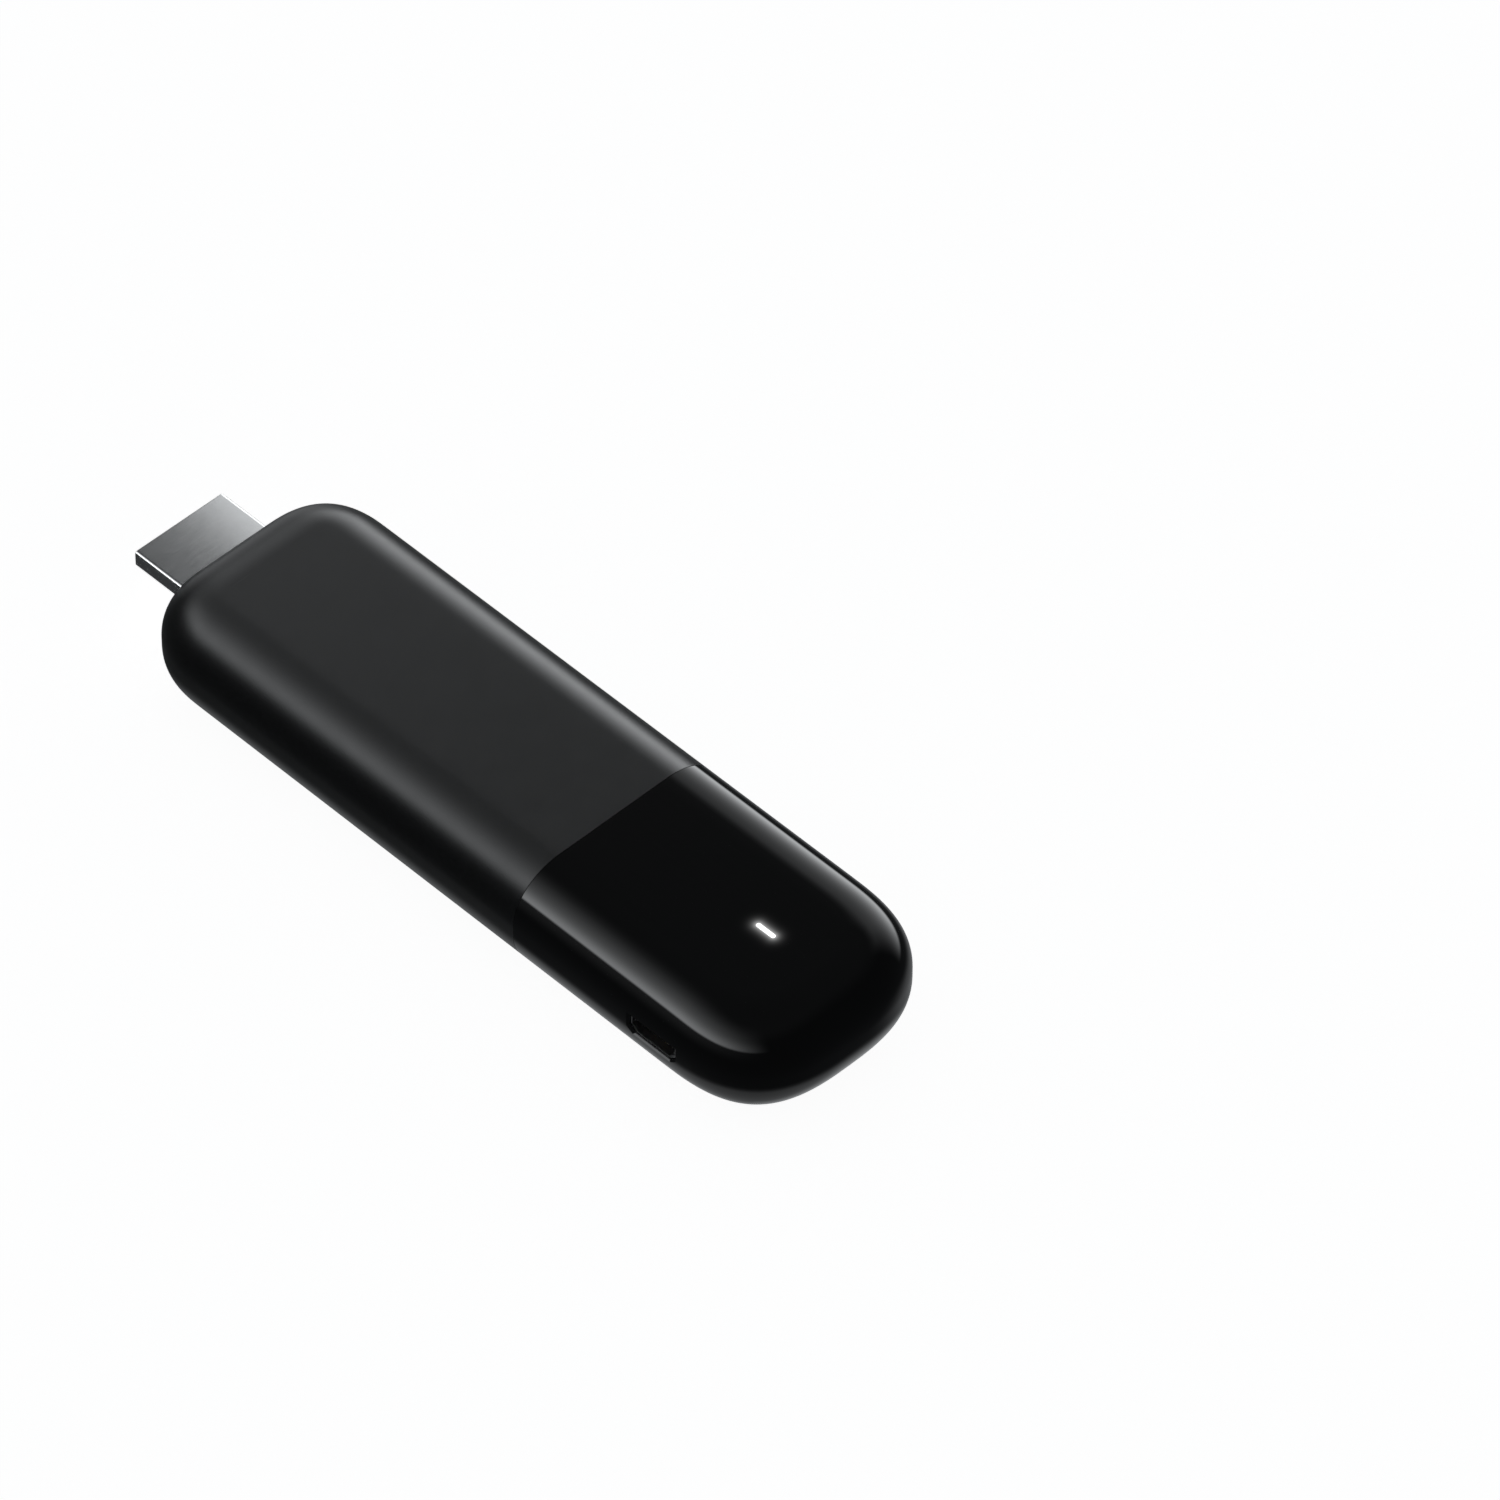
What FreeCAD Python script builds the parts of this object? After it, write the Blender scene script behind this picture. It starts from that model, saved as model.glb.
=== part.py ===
"""Streaming media stick: a pocket-sized player that plugs straight into a television.

Two plastic shells make the outside: a matte sleeve, closed around the video plug at its
-X end, and a glossy cap with the status light and the power socket. Inside, a frame
carries one circuit board with its chips, shields, heat spreaders, plug, socket and aerials.

Frame: millimetres, +X from the plug's tip to the cap's end, +Z out of the front face.
The origin is under the middle of the whole object, on the flat back face.
"""
import FreeCAD, Part
import os
from math import cos, pi, sin

from FreeCAD import Vector

# ---- Housing: driving dimensions ------------------------------------------------------
BODY_LENGTH = 103.4
BODY_WIDTH = 31.6
BODY_HEIGHT = 15.0
EDGE_RADIUS = 6.9           # round along every long edge, front and back
PLUG_CORNER = 10.6          # plan corner beside the plug
PLUG_CORNER_POWER = 2.36    # superellipse power of that corner
CAP_CORNER = 15.7           # depth of the rounded end in plan
CAP_CORNER_POWER = 2.77
PLUG_REACH = 8.6            # how far the plug stands out of the sleeve
SEAM_FROM_PLUG_END = 64.4   # where the matte sleeve meets the glossy cap
WALL = 1.4

OVERALL_LENGTH = BODY_LENGTH + PLUG_REACH
PLUG_TIP_X = -OVERALL_LENGTH / 2
BODY_START_X = PLUG_TIP_X + PLUG_REACH
BODY_END_X = BODY_START_X + BODY_LENGTH
SEAM_X = BODY_START_X + SEAM_FROM_PLUG_END
MID_Z = BODY_HEIGHT / 2
INNER_TOP_Z = BODY_HEIGHT - WALL

# ---- Joint between sleeve and cap -----------------------------------------------------
SKIRT_LENGTH = 5.0          # spigot of the cap that slides into the sleeve
SKIRT_GAP = 0.05            # slip fit inside the sleeve
SKIRT_WALL = 0.95
SKIRT_ROOT = 2.0            # length over which the spigot is rooted in the cap
SNAP_HEIGHT = 0.4           # bead on the spigot, front and back
SNAP_LENGTH = 1.6
SNAP_FROM_END = 1.0         # bead's start, from the spigot's end
SNAP_WIDTH = 8.0
SNAP_CLEARANCE = 0.1

# ---- Video plug (19 contacts, type A size) ---------------------------------------------
PLUG_WIDTH = 13.9
PLUG_HEIGHT = 4.45
PLUG_TOP_Z = MID_Z + 1.40   # wide face, towards the front of the player
PLUG_SIDE = 2.3             # straight side below the wide face
PLUG_LEDGE = 1.0            # nearly flat step inwards below the side
PLUG_LEDGE_DROP = 0.22
PLUG_SLOPE = 1.05           # sloping facet down to the narrow face
PLUG_SHEET = 0.3
PLUG_EDGE_RADIUS = 0.45
PLUG_LIP_RADIUS = 0.14      # rolled edge around the mouth
PLUG_REAR_X = BODY_START_X + 4.2
PLUG_BOTTOM_Z = PLUG_TOP_Z - PLUG_HEIGHT
PLUG_MID_Z = (PLUG_TOP_Z + PLUG_BOTTOM_Z) / 2
PLUG_CLEARANCE = 0.12       # round the plug in the sleeve's slot
LATCH_HOLE_LENGTH = 1.45
LATCH_HOLE_WIDTH = 1.4
LATCH_HOLE_Y = 2.6
LATCH_HOLE_X = BODY_START_X - 3.45
DOVETAIL_X = (BODY_START_X - 1.0, BODY_START_X - 5.8)
DOVETAIL_LENGTH = 1.5
DOVETAIL_REACH = 1.05
DOVETAIL_FLARE = 0.25
SHEET_SEAM = 0.06           # hairline gap where the rolled sheet closes
PLUG_LEG_LENGTH = 3.6
PLUG_LEG_BELOW = 0.5        # the legs reach below the board by this
PLUG_LEG_ABOVE = 0.8
INSULATOR_RECESS = 0.5
TONGUE_SLOT_WIDTH = 11.6
TONGUE_SLOT_HEIGHT = 1.5
TONGUE_SLOT_DEPTH = 8.0
CONTACT_PITCH = 1.0
FRONT_ROW_CONTACTS = 10
BACK_ROW_CONTACTS = 9
CONTACT_WIDTH = 0.34
CONTACT_THICKNESS = 0.2
CONTACT_GROOVE = 0.56
CONTACT_GROOVE_DEPTH = 0.62
CONTACT_LIFT = 0.02         # solder under each tail
CONTACT_HIGH = 0.42         # how far the straight part stands off the tail's level
CONTACT_BOW = 0.1           # and the bow that touches the mating plug
CONTACT_TAIL_X = PLUG_REAR_X + 2.0
CONTACT_BEND_X = (PLUG_REAR_X - 1.5, PLUG_REAR_X - 2.2)
CONTACT_BOW_X = (PLUG_TIP_X + 3.0, PLUG_TIP_X + 2.2)
CONTACT_NOSE_X = PLUG_TIP_X + 1.0

# ---- Circuit board and its frame -------------------------------------------------------
BOARD_THICKNESS = 1.0
BOARD_TOP_Z = PLUG_MID_Z + BOARD_THICKNESS / 2
BOARD_BOTTOM_Z = PLUG_MID_Z - BOARD_THICKNESS / 2
BOARD_INSET = 3.8           # board outline, inside the housing's outline
FRAME_INSET = 2.8
FRAME_POCKET_INSET = 3.7
FRAME_LEDGE_INSET = 4.6
FRAME_BOTTOM_Z = 5.4
FRAME_TOP_Z = 8.3
FRAME_BARS_X = (-38.8, 13.3)    # cross bars under the board, either side of the rear shield
FRAME_BAR_WIDTH = 1.8
RAIL_START_X = -38.0
RAIL_END_X = 8.0
RAIL_REACH_Y = 12.4         # rails stand in from the side walls to here
RAIL_THICKNESS = 0.8
RAIL_GAP = 0.15             # play above and below the frame
FIT_GAP = 0.1               # general clearance between neighbours inside
PLUG_NOTCH_HALF_WIDTH = 7.6     # the frame is open round the plug
SOCKET_NOTCH_INNER_Y = -9.0     # and round the socket, in from -Y to here
TOLERANCE = 1e-6            # two lengths this close are the same

# ---- Power socket (micro-USB B size) on the -Y side ------------------------------------
SOCKET_X = BODY_START_X + 86.7
SOCKET_Z = MID_Z - 0.3
SOCKET_WIDTH = 7.3
SOCKET_HEIGHT = 2.4
SOCKET_BEVEL_Y = 0.92       # bevel along the socket's width
SOCKET_BEVEL_Z = 0.8        # and along its height
SOCKET_SHEET = 0.25
SOCKET_DEPTH = 5.0
SOCKET_RECESS = 0.45        # the lip lies this far behind the housing's side
SOCKET_WINDOW_GAP = 0.06    # the window in the cap is this much larger all round
SOCKET_RELIEF_SKIN = 0.5    # wall left outside the groove that lets the socket pass
SOCKET_TONGUE_THICKNESS = 0.6
SOCKET_TONGUE_WIDTH = 3.8
SOCKET_CONTACTS = 5
SOCKET_CONTACT_PITCH = 0.65
SOCKET_CONTACT_WIDTH = 0.36
SOCKET_CONTACT_THICKNESS = 0.12
SOCKET_FLANGE_REACH = 0.9   # solder flange beside the socket, on the board
SOCKET_FLANGE_LENGTH = 1.2
SOCKET_FLANGE_FROM_BACK = 0.4
SOCKET_TONGUE_RECESS = 0.7  # tongue's tip behind the lip
SOCKET_TONGUE_LIFT = 0.1    # its underside above the socket's middle
SOCKET_REAR_BLOCK = 1.2
SOCKET_CONTACT_RECESS = 1.0
SOCKET_CONTACT_END = 0.2    # the contacts end this far before the rear wall

# ---- Status light ----------------------------------------------------------------------
LIGHT_X = BODY_START_X + 88.9
LIGHT_LENGTH = 2.9
LIGHT_WIDTH = 0.62
LIGHT_GAP = 0.02
LIGHT_FLANGE_LENGTH = 4.6
LIGHT_FLANGE_WIDTH = 2.6
LIGHT_FLANGE_THICKNESS = 0.6
LIGHT_STEM_WIDTH = 1.2
LIGHT_STEM_BOTTOM_Z = BOARD_TOP_Z + 1.0   # just clear of the lamp
LED_SIZE = (1.6, 0.8, 0.6)
SEAL_SIZE = (5.4, 3.8, 1.9)
SEAL_HOLE = (3.3, 1.7)

# ---- Parts on the board ----------------------------------------------------------------
SHIELD_SHEET = 0.2
FRONT_SHIELD_X = (-37.0, 15.0)
FRONT_SHIELD_HALF_WIDTH = 10.4
FRONT_SHIELD_HEIGHT = 1.7
REAR_SHIELD_X = (-35.0, 13.0)
REAR_SHIELD_HALF_WIDTH = 10.0
REAR_SHIELD_HEIGHT = 1.6
RADIO_SHIELD_X = (18.5, 33.5)
RADIO_SHIELD_HALF_WIDTH = 7.5
RADIO_SHIELD_HEIGHT = 1.4
SHIELD_VENT_RADIUS = 0.5
SHIELD_VENT_PITCH = 3.0
SHIELD_VENT_MARGIN = 2.0    # plain sheet at both ends of a row of vents
SHIELD_VENT_Y = 8.0         # rows of vents either side of the heat spreader's pedestal
RADIO_VENT_Y = 4.5
SHIELD_LID_FOOT_GAP = 0.4   # the front lid's sides end this far above the board
PROCESSOR_X = -8.0
PROCESSOR_SIZE = (14.0, 14.0, 1.1)
MEMORY_X = -26.5
MEMORY_Y = 4.9
MEMORY_SIZE = (12.0, 8.0, 0.9)
FLASH_X = -10.0
FLASH_SIZE = (13.0, 11.5, 1.0)
POWER_CHIP_X = 20.0
POWER_CHIP_SIZE = (5.0, 5.0, 0.85)
RADIO_CHIP_X = 26.0
RADIO_CHIP_SIZE = (7.0, 7.0, 0.8)
CRYSTAL_POSITION = (4.6, 5.6)
CRYSTAL_SIZE = (3.2, 2.5, 0.7)
INDUCTOR_X = 27.0
INDUCTOR_SIZE = 3.2
INDUCTOR_HEIGHT = 1.6
INDUCTOR_PITCH = 4.6
CAPACITOR_SIZE = (1.0, 0.5, 0.5)
RESISTOR_SIZE = (1.0, 0.5, 0.35)
PASSIVE_PITCH = 1.9
CAPACITOR_ROW_Y = 8.6       # rows of capacitors and resistors either side of the middle
FLASH_ROW_Y = 8.0
RESISTOR_ROW_Y = 9.4
POWER_RESISTOR_ROW_Y = 7.05
POWER_ROW_X = 23.8
RADIO_ROW_X = 25.2
PLUG_ROW_X = -27.2
PACKAGE_CHAMFER = 0.12

# ---- Heat path -------------------------------------------------------------------------
PAD_THICKNESS = 1.0
SPREADER_THICKNESS = 0.9
SPREADER_GAP = 0.25         # between a spreader and the housing's inner face
SPREADER_START_X = -35.0
SPREADER_END_X = 10.0
SPREADER_FLAT = 8.4         # half width of the flat middle
SPREADER_HALF_WIDTH = 11.0
SPREADER_WING_DROP = 1.7
PEDESTAL_SIZE = (15.0, 13.0)

# ---- Aerials ---------------------------------------------------------------------------
AERIAL_SHEET = 0.2
AERIAL_START_X = 36.0
AERIAL_END_X = 47.0
AERIAL_INNER_Y = 5.4
AERIAL_WIDTH = 3.6
AERIAL_HEIGHT = 3.4
AERIAL_LEG_WIDTH = 1.2
AERIAL_LEG_PITCH = 3.0
AERIAL_NOTCH_FROM_START = 5.4   # slot that folds the strip into its tuned shape
AERIAL_NOTCH_TO_END = 1.6
AERIAL_NOTCH_DEPTH = 1.6


# ---- Helpers ---------------------------------------------------------------------------
def block(x_range, y_range, z_range):
    """A box from its lowest to its highest corner."""
    low = Vector(x_range[0], y_range[0], z_range[0])
    size = Vector(x_range[1], y_range[1], z_range[1]) - low
    return Part.makeBox(size.x, size.y, size.z, low)


def block_on(centre_x, centre_y, size, bottom_z):
    """A box of (length, width, height) that stands on bottom_z."""
    length, width, height = size
    return block(
        (centre_x - length / 2, centre_x + length / 2),
        (centre_y - width / 2, centre_y + width / 2),
        (bottom_z, bottom_z + height),
    )


def package(centre_x, centre_y, size, board_z, side=1):
    """A chip package with chamfered upper edges; side is +1 on the front, -1 on the back."""
    bottom_z = board_z if side > 0 else board_z - size[2]
    chip = block_on(centre_x, centre_y, size, bottom_z)
    outer_z = bottom_z + size[2] if side > 0 else bottom_z
    edges = [e for e in chip.Edges if lies_at_height(e, outer_z)]
    return chip.makeChamfer(PACKAGE_CHAMFER, edges).Solids[0]


def lies_at_height(edge, z):
    """True for an edge that lies flat at height z."""
    box = edge.BoundBox
    return box.ZLength < TOLERANCE and abs(box.ZMin - z) < TOLERANCE


def slot_prism(centre_x, centre_y, length, width, z_range):
    """An upright prism with rounded ends, its long side along X."""
    radius = width / 2
    reach = length / 2 - radius
    middle = block(
        (centre_x - reach, centre_x + reach), (centre_y - radius, centre_y + radius), z_range
    )
    for x in (centre_x - reach, centre_x + reach):
        round_end = Part.makeCylinder(radius, z_range[1] - z_range[0], Vector(x, centre_y, z_range[0]))
        middle = middle.fuse(round_end)
    return middle.removeSplitter().Solids[0]


def prism_along_x(points, x_range):
    """Extrude a closed (y, z) polygon along X."""
    corners = [Vector(x_range[0], y, z) for y, z in points]
    face = Part.Face(Part.makePolygon(corners + corners[:1]))
    return face.extrude(Vector(x_range[1] - x_range[0], 0, 0))


def prism_along_y(points, y_range):
    """Extrude a closed (x, z) polygon along Y."""
    corners = [Vector(x, y_range[0], z) for x, z in points]
    face = Part.Face(Part.makePolygon(corners + corners[:1]))
    return face.extrude(Vector(0, y_range[1] - y_range[0], 0))


def mirrored_in_y(shape):
    """The same shape on the other side of the XZ plane."""
    return shape.mirror(Vector(0, 0, 0), Vector(0, 1, 0))


def half_space(x_low, x_high):
    """A block that covers the whole housing between two X positions."""
    return block((x_low, x_high), (-BODY_WIDTH, BODY_WIDTH), (-BODY_HEIGHT, 2 * BODY_HEIGHT))


# ---- Housing outline -------------------------------------------------------------------
def quarter_superellipse(depth, half_width, power, steps=8):
    """Points of |x/depth|^power + |y/half_width|^power = 1, from the X axis to the Y axis."""
    angles = [pi / 2 * i / steps for i in range(steps + 1)]
    return [
        Vector(depth * abs(cos(t)) ** (2 / power), half_width * abs(sin(t)) ** (2 / power), 0)
        for t in angles
    ]


def smooth_edge(points, start_direction, end_direction):
    """One smooth edge through the points, with given directions at both ends."""
    curve = Part.BSplineCurve()
    curve.interpolate(Points=points, InitialTangent=start_direction, FinalTangent=end_direction)
    return curve.toShape()


def housing_outline(inset):
    """Plan outline of the housing, offset inwards by inset, at z = 0."""
    half_width = BODY_WIDTH / 2 - inset
    cap_depth = CAP_CORNER - inset
    plug_depth = PLUG_CORNER - inset
    cap_centre = Vector(BODY_END_X - CAP_CORNER, 0, 0)
    plug_centre = Vector(BODY_START_X + PLUG_CORNER, half_width - plug_depth, 0)
    along, across = Vector(1, 0, 0), Vector(0, 1, 0)

    cap_curve = [cap_centre + p for p in quarter_superellipse(cap_depth, half_width, CAP_CORNER_POWER)]
    plug_quarter = quarter_superellipse(plug_depth, plug_depth, PLUG_CORNER_POWER)
    plug_curve = [plug_centre + Vector(-p.x, p.y, 0) for p in reversed(plug_quarter)]

    upper = [
        smooth_edge(cap_curve, across, -along),
        Part.makeLine(cap_curve[-1], plug_curve[0]),
        smooth_edge(plug_curve, -along, -across),
    ]
    lower = [mirrored_in_y(edge) for edge in upper]
    flat_end = Part.makeLine(plug_curve[-1], Vector(plug_curve[-1].x, -plug_curve[-1].y, 0))
    return Part.Wire(Part.__sortEdges__(upper + [flat_end] + lower))


def outline_slab(inset, z_range):
    """A flat slab with the housing's outline."""
    slab = Part.Face(housing_outline(inset)).extrude(Vector(0, 0, z_range[1] - z_range[0]))
    slab.translate(Vector(0, 0, z_range[0]))
    return slab


def pill(inset):
    """The housing's rounded body, shrunk inwards by inset on every side."""
    slab = outline_slab(inset, (inset, BODY_HEIGHT - inset))
    rims = [e for e in slab.Edges if e.BoundBox.ZLength < TOLERANCE]
    return slab.makeFillet(EDGE_RADIUS - inset, rims).Solids[0]


def shell_between(outer_inset, inner_inset, x_low, x_high):
    """The closed skin between two shrunk bodies, kept between two X positions."""
    skin = pill(outer_inset).cut(pill(inner_inset))
    return skin.common(half_space(x_low, x_high))


# ---- Housing shells --------------------------------------------------------------------
def plug_profile(grow):
    """(y, z) corners of the plug's section, grown outwards by grow."""
    half = PLUG_WIDTH / 2 + grow
    top = PLUG_TOP_Z + grow
    bottom = PLUG_BOTTOM_Z - grow
    side_end = PLUG_TOP_Z - PLUG_SIDE - grow
    ledge_end = side_end - PLUG_LEDGE_DROP
    upper_right = [(half, side_end), (half, top)]
    lower_right = [(half - PLUG_LEDGE - PLUG_SLOPE, bottom), (half - PLUG_LEDGE, ledge_end)]
    right = lower_right + upper_right
    left = [(-y, z) for y, z in reversed(right)]
    return right + left


def plug_prism(grow, x_range, radius):
    """The plug's section along X, with its long edges rounded."""
    prism = prism_along_x(plug_profile(grow), x_range)
    length = x_range[1] - x_range[0]
    long_edges = [e for e in prism.Edges if abs(e.BoundBox.XLength - length) < TOLERANCE]
    return prism.makeFillet(radius, long_edges).Solids[0]


def side_rails():
    """Rails inside the sleeve's side walls that hold the frame's edges."""
    solids = []
    for bottom_z in (FRAME_TOP_Z + RAIL_GAP, FRAME_BOTTOM_Z - RAIL_GAP - RAIL_THICKNESS):
        rail = block(
            (RAIL_START_X, RAIL_END_X), (RAIL_REACH_Y, BODY_WIDTH / 2),
            (bottom_z, bottom_z + RAIL_THICKNESS),
        ).common(pill(WALL / 2))
        solids += [rail, mirrored_in_y(rail)]
    return solids


def snap_beads(grow):
    """The two beads on the spigot, front and back, grown by grow for their recesses."""
    x_low = SEAM_X - SKIRT_LENGTH + SNAP_FROM_END
    surface = WALL + SKIRT_GAP
    half_width = SNAP_WIDTH / 2 + grow
    beads = []
    for inner_z, direction in ((BODY_HEIGHT - surface, 1), (surface, -1)):
        tip_z = inner_z + direction * (SNAP_HEIGHT + grow)
        root_z = inner_z - direction * SKIRT_WALL / 2
        ramp = [
            (x_low - grow, root_z),
            (x_low - grow, inner_z),
            (x_low + SNAP_HEIGHT, tip_z),
            (x_low + SNAP_LENGTH + grow, tip_z),
            (x_low + SNAP_LENGTH + grow, root_z),
        ]
        beads.append(prism_along_y(ramp, (-half_width, half_width)))
    return beads


def make_main_sleeve():
    """Matte sleeve, closed at the plug's end, with the plug's slot and inner rails."""
    sleeve = shell_between(0, WALL, BODY_START_X - 1, SEAM_X)
    sleeve = sleeve.fuse(side_rails())
    slot = plug_prism(PLUG_CLEARANCE, (PLUG_TIP_X, PLUG_REAR_X), PLUG_EDGE_RADIUS)
    sleeve = sleeve.cut([slot] + snap_beads(SNAP_CLEARANCE))
    return sleeve.removeSplitter()


def socket_profile(grow):
    """(x, z) corners of the power socket's opening, grown outwards by grow."""
    half = SOCKET_WIDTH / 2 + grow
    top = SOCKET_Z + SOCKET_HEIGHT / 2 + grow
    bottom = SOCKET_Z - SOCKET_HEIGHT / 2 - grow
    right = [(half - SOCKET_BEVEL_Y, bottom), (half, bottom + SOCKET_BEVEL_Z), (half, top)]
    left = [(-x, z) for x, z in reversed(right)]
    return [(SOCKET_X + x, z) for x, z in right + left]


def socket_relief():
    """Groove inside the cap, open towards the seam, that the socket's lip slides along."""
    reach = SOCKET_HEIGHT / 2 + FIT_GAP * 2
    return block(
        (SEAM_X - SKIRT_LENGTH - 1, SOCKET_X + SOCKET_WIDTH / 2 + FIT_GAP),
        (-BODY_WIDTH / 2 + SOCKET_RELIEF_SKIN, -RAIL_REACH_Y),
        (SOCKET_Z - reach, SOCKET_Z + reach),
    )


def make_end_cap():
    """Glossy cap with its spigot, snap beads, light slot and socket window."""
    cap = shell_between(0, WALL, SEAM_X, BODY_END_X + 1)
    root = shell_between(WALL / 2, WALL + SKIRT_GAP + SKIRT_WALL, SEAM_X, SEAM_X + SKIRT_ROOT)
    spigot = shell_between(
        WALL + SKIRT_GAP, WALL + SKIRT_GAP + SKIRT_WALL, SEAM_X - SKIRT_LENGTH, SEAM_X + SKIRT_ROOT
    )
    cap = cap.fuse([root, spigot] + snap_beads(0))
    light_slot = slot_prism(LIGHT_X, 0, LIGHT_LENGTH, LIGHT_WIDTH, (MID_Z, BODY_HEIGHT + 1))
    window = prism_along_y(socket_profile(SOCKET_WINDOW_GAP), (-BODY_WIDTH, -RAIL_REACH_Y))
    return cap.cut([light_slot, window, socket_relief()]).removeSplitter()


def make_board_frame():
    """Frame that the board drops into, open at the plug and the socket, tied by two bars."""
    frame = outline_slab(FRAME_INSET, (FRAME_BOTTOM_Z, FRAME_TOP_Z))
    pocket = outline_slab(FRAME_POCKET_INSET, (BOARD_BOTTOM_Z, FRAME_TOP_Z + 1))
    opening = outline_slab(FRAME_LEDGE_INSET, (0, BOARD_BOTTOM_Z + 1))
    plug_notch = block(
        (PLUG_TIP_X, PLUG_REAR_X + PLUG_LEG_LENGTH),
        (-PLUG_NOTCH_HALF_WIDTH, PLUG_NOTCH_HALF_WIDTH), (0, BODY_HEIGHT),
    )
    reach = SOCKET_WIDTH / 2 + SOCKET_FLANGE_REACH + 2 * FIT_GAP
    socket_notch = block(
        (SOCKET_X - reach, SOCKET_X + reach), (-BODY_WIDTH, SOCKET_NOTCH_INNER_Y),
        (0, BODY_HEIGHT),
    )
    bars = []
    for x in FRAME_BARS_X:
        bar = block(
            (x, x + FRAME_BAR_WIDTH), (-BODY_WIDTH, BODY_WIDTH), (FRAME_BOTTOM_Z, BOARD_BOTTOM_Z)
        )
        bars.append(bar.common(outline_slab(FRAME_POCKET_INSET, (0, BODY_HEIGHT))))
    return frame.cut([pocket, opening, plug_notch, socket_notch]).fuse(bars).removeSplitter()


# ---- Video plug ------------------------------------------------------------------------
def plug_legs():
    """Two solder legs that run back from the plug's sides into the board."""
    leg = block(
        (PLUG_REAR_X - 1, PLUG_REAR_X + PLUG_LEG_LENGTH),
        (PLUG_WIDTH / 2 - PLUG_SHEET, PLUG_WIDTH / 2),
        (BOARD_BOTTOM_Z - PLUG_LEG_BELOW, BOARD_TOP_Z + PLUG_LEG_ABOVE),
    )
    return [leg, mirrored_in_y(leg)]


def sheet_seam_cutters():
    """The hairline gap along the back face, stepping round two dovetail tabs."""
    z_range = (PLUG_BOTTOM_Z - 1, PLUG_BOTTOM_Z + PLUG_SHEET + 0.01)
    wide = DOVETAIL_LENGTH / 2
    narrow = wide - DOVETAIL_FLARE
    roots = [
        block((x - narrow + SHEET_SEAM, x + narrow - SHEET_SEAM), (-1, 1), z_range)
        for x in DOVETAIL_X
    ]
    cutters = [block((PLUG_TIP_X - 1, BODY_START_X), (0, SHEET_SEAM), z_range).cut(roots)]
    for centre_x in DOVETAIL_X:
        outer = dovetail(centre_x, narrow, wide, DOVETAIL_REACH, z_range)
        inner = dovetail(
            centre_x, narrow - SHEET_SEAM, wide - SHEET_SEAM, DOVETAIL_REACH - SHEET_SEAM, z_range
        )
        cutters.append(outer.cut(inner))
    return cutters


def dovetail(centre_x, narrow, wide, reach, z_range):
    """A tab that widens away from the seam, towards -Y."""
    corners = [(centre_x - narrow, 0), (centre_x - wide, -reach),
               (centre_x + wide, -reach), (centre_x + narrow, 0)]
    points = [Vector(x, y, z_range[0]) for x, y in corners]
    face = Part.Face(Part.makePolygon(points + points[:1]))
    return face.extrude(Vector(0, 0, z_range[1] - z_range[0]))


def make_plug_shell():
    """Rolled sheet-metal shell with latch holes, a butt seam and solder legs."""
    x_range = (PLUG_TIP_X, PLUG_REAR_X)
    shell = plug_prism(0, x_range, PLUG_EDGE_RADIUS)
    mouth_edges = [e for e in shell.Edges if abs(e.BoundBox.XMax - PLUG_TIP_X) < TOLERANCE]
    shell = shell.makeFillet(PLUG_LIP_RADIUS, mouth_edges)
    hollow = plug_prism(
        -PLUG_SHEET, (PLUG_TIP_X - 1, PLUG_REAR_X + 1), PLUG_EDGE_RADIUS - PLUG_SHEET
    )
    shell = shell.cut(hollow).fuse(plug_legs())
    holes = [
        block_on(
            LATCH_HOLE_X, side * LATCH_HOLE_Y,
            (LATCH_HOLE_LENGTH, LATCH_HOLE_WIDTH, 5 * PLUG_SHEET), PLUG_BOTTOM_Z - 1,
        )
        for side in (1, -1)
    ]
    return shell.cut(holes + sheet_seam_cutters())


def contact_rows():
    """(side, y) of every contact: side is +1 in the front row, -1 in the back row."""
    rows = []
    for side, count in ((1, FRONT_ROW_CONTACTS), (-1, BACK_ROW_CONTACTS)):
        start = -CONTACT_PITCH * (count - 1) / 2
        rows += [(side, start + CONTACT_PITCH * i) for i in range(count)]
    return rows


def make_plug_insulator():
    """Moulded insulator that lines the plug, with the tongue slot and contact grooves."""
    x_front = PLUG_TIP_X + INSULATOR_RECESS
    body = plug_prism(-PLUG_SHEET, (x_front, PLUG_REAR_X), PLUG_EDGE_RADIUS - PLUG_SHEET)
    tongue_slot = block(
        (x_front - 1, x_front + TONGUE_SLOT_DEPTH),
        (-TONGUE_SLOT_WIDTH / 2, TONGUE_SLOT_WIDTH / 2),
        (PLUG_MID_Z - TONGUE_SLOT_HEIGHT / 2, PLUG_MID_Z + TONGUE_SLOT_HEIGHT / 2),
    )
    grooves = []
    for side, y in contact_rows():
        near = PLUG_MID_Z + side * BOARD_THICKNESS / 2
        far = PLUG_MID_Z + side * (TONGUE_SLOT_HEIGHT / 2 + CONTACT_GROOVE_DEPTH)
        grooves.append(block(
            (x_front - 1, PLUG_REAR_X + 1),
            (y - CONTACT_GROOVE / 2, y + CONTACT_GROOVE / 2),
            (min(near, far), max(near, far)),
        ))
    return body.cut([tongue_slot] + grooves)


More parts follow.
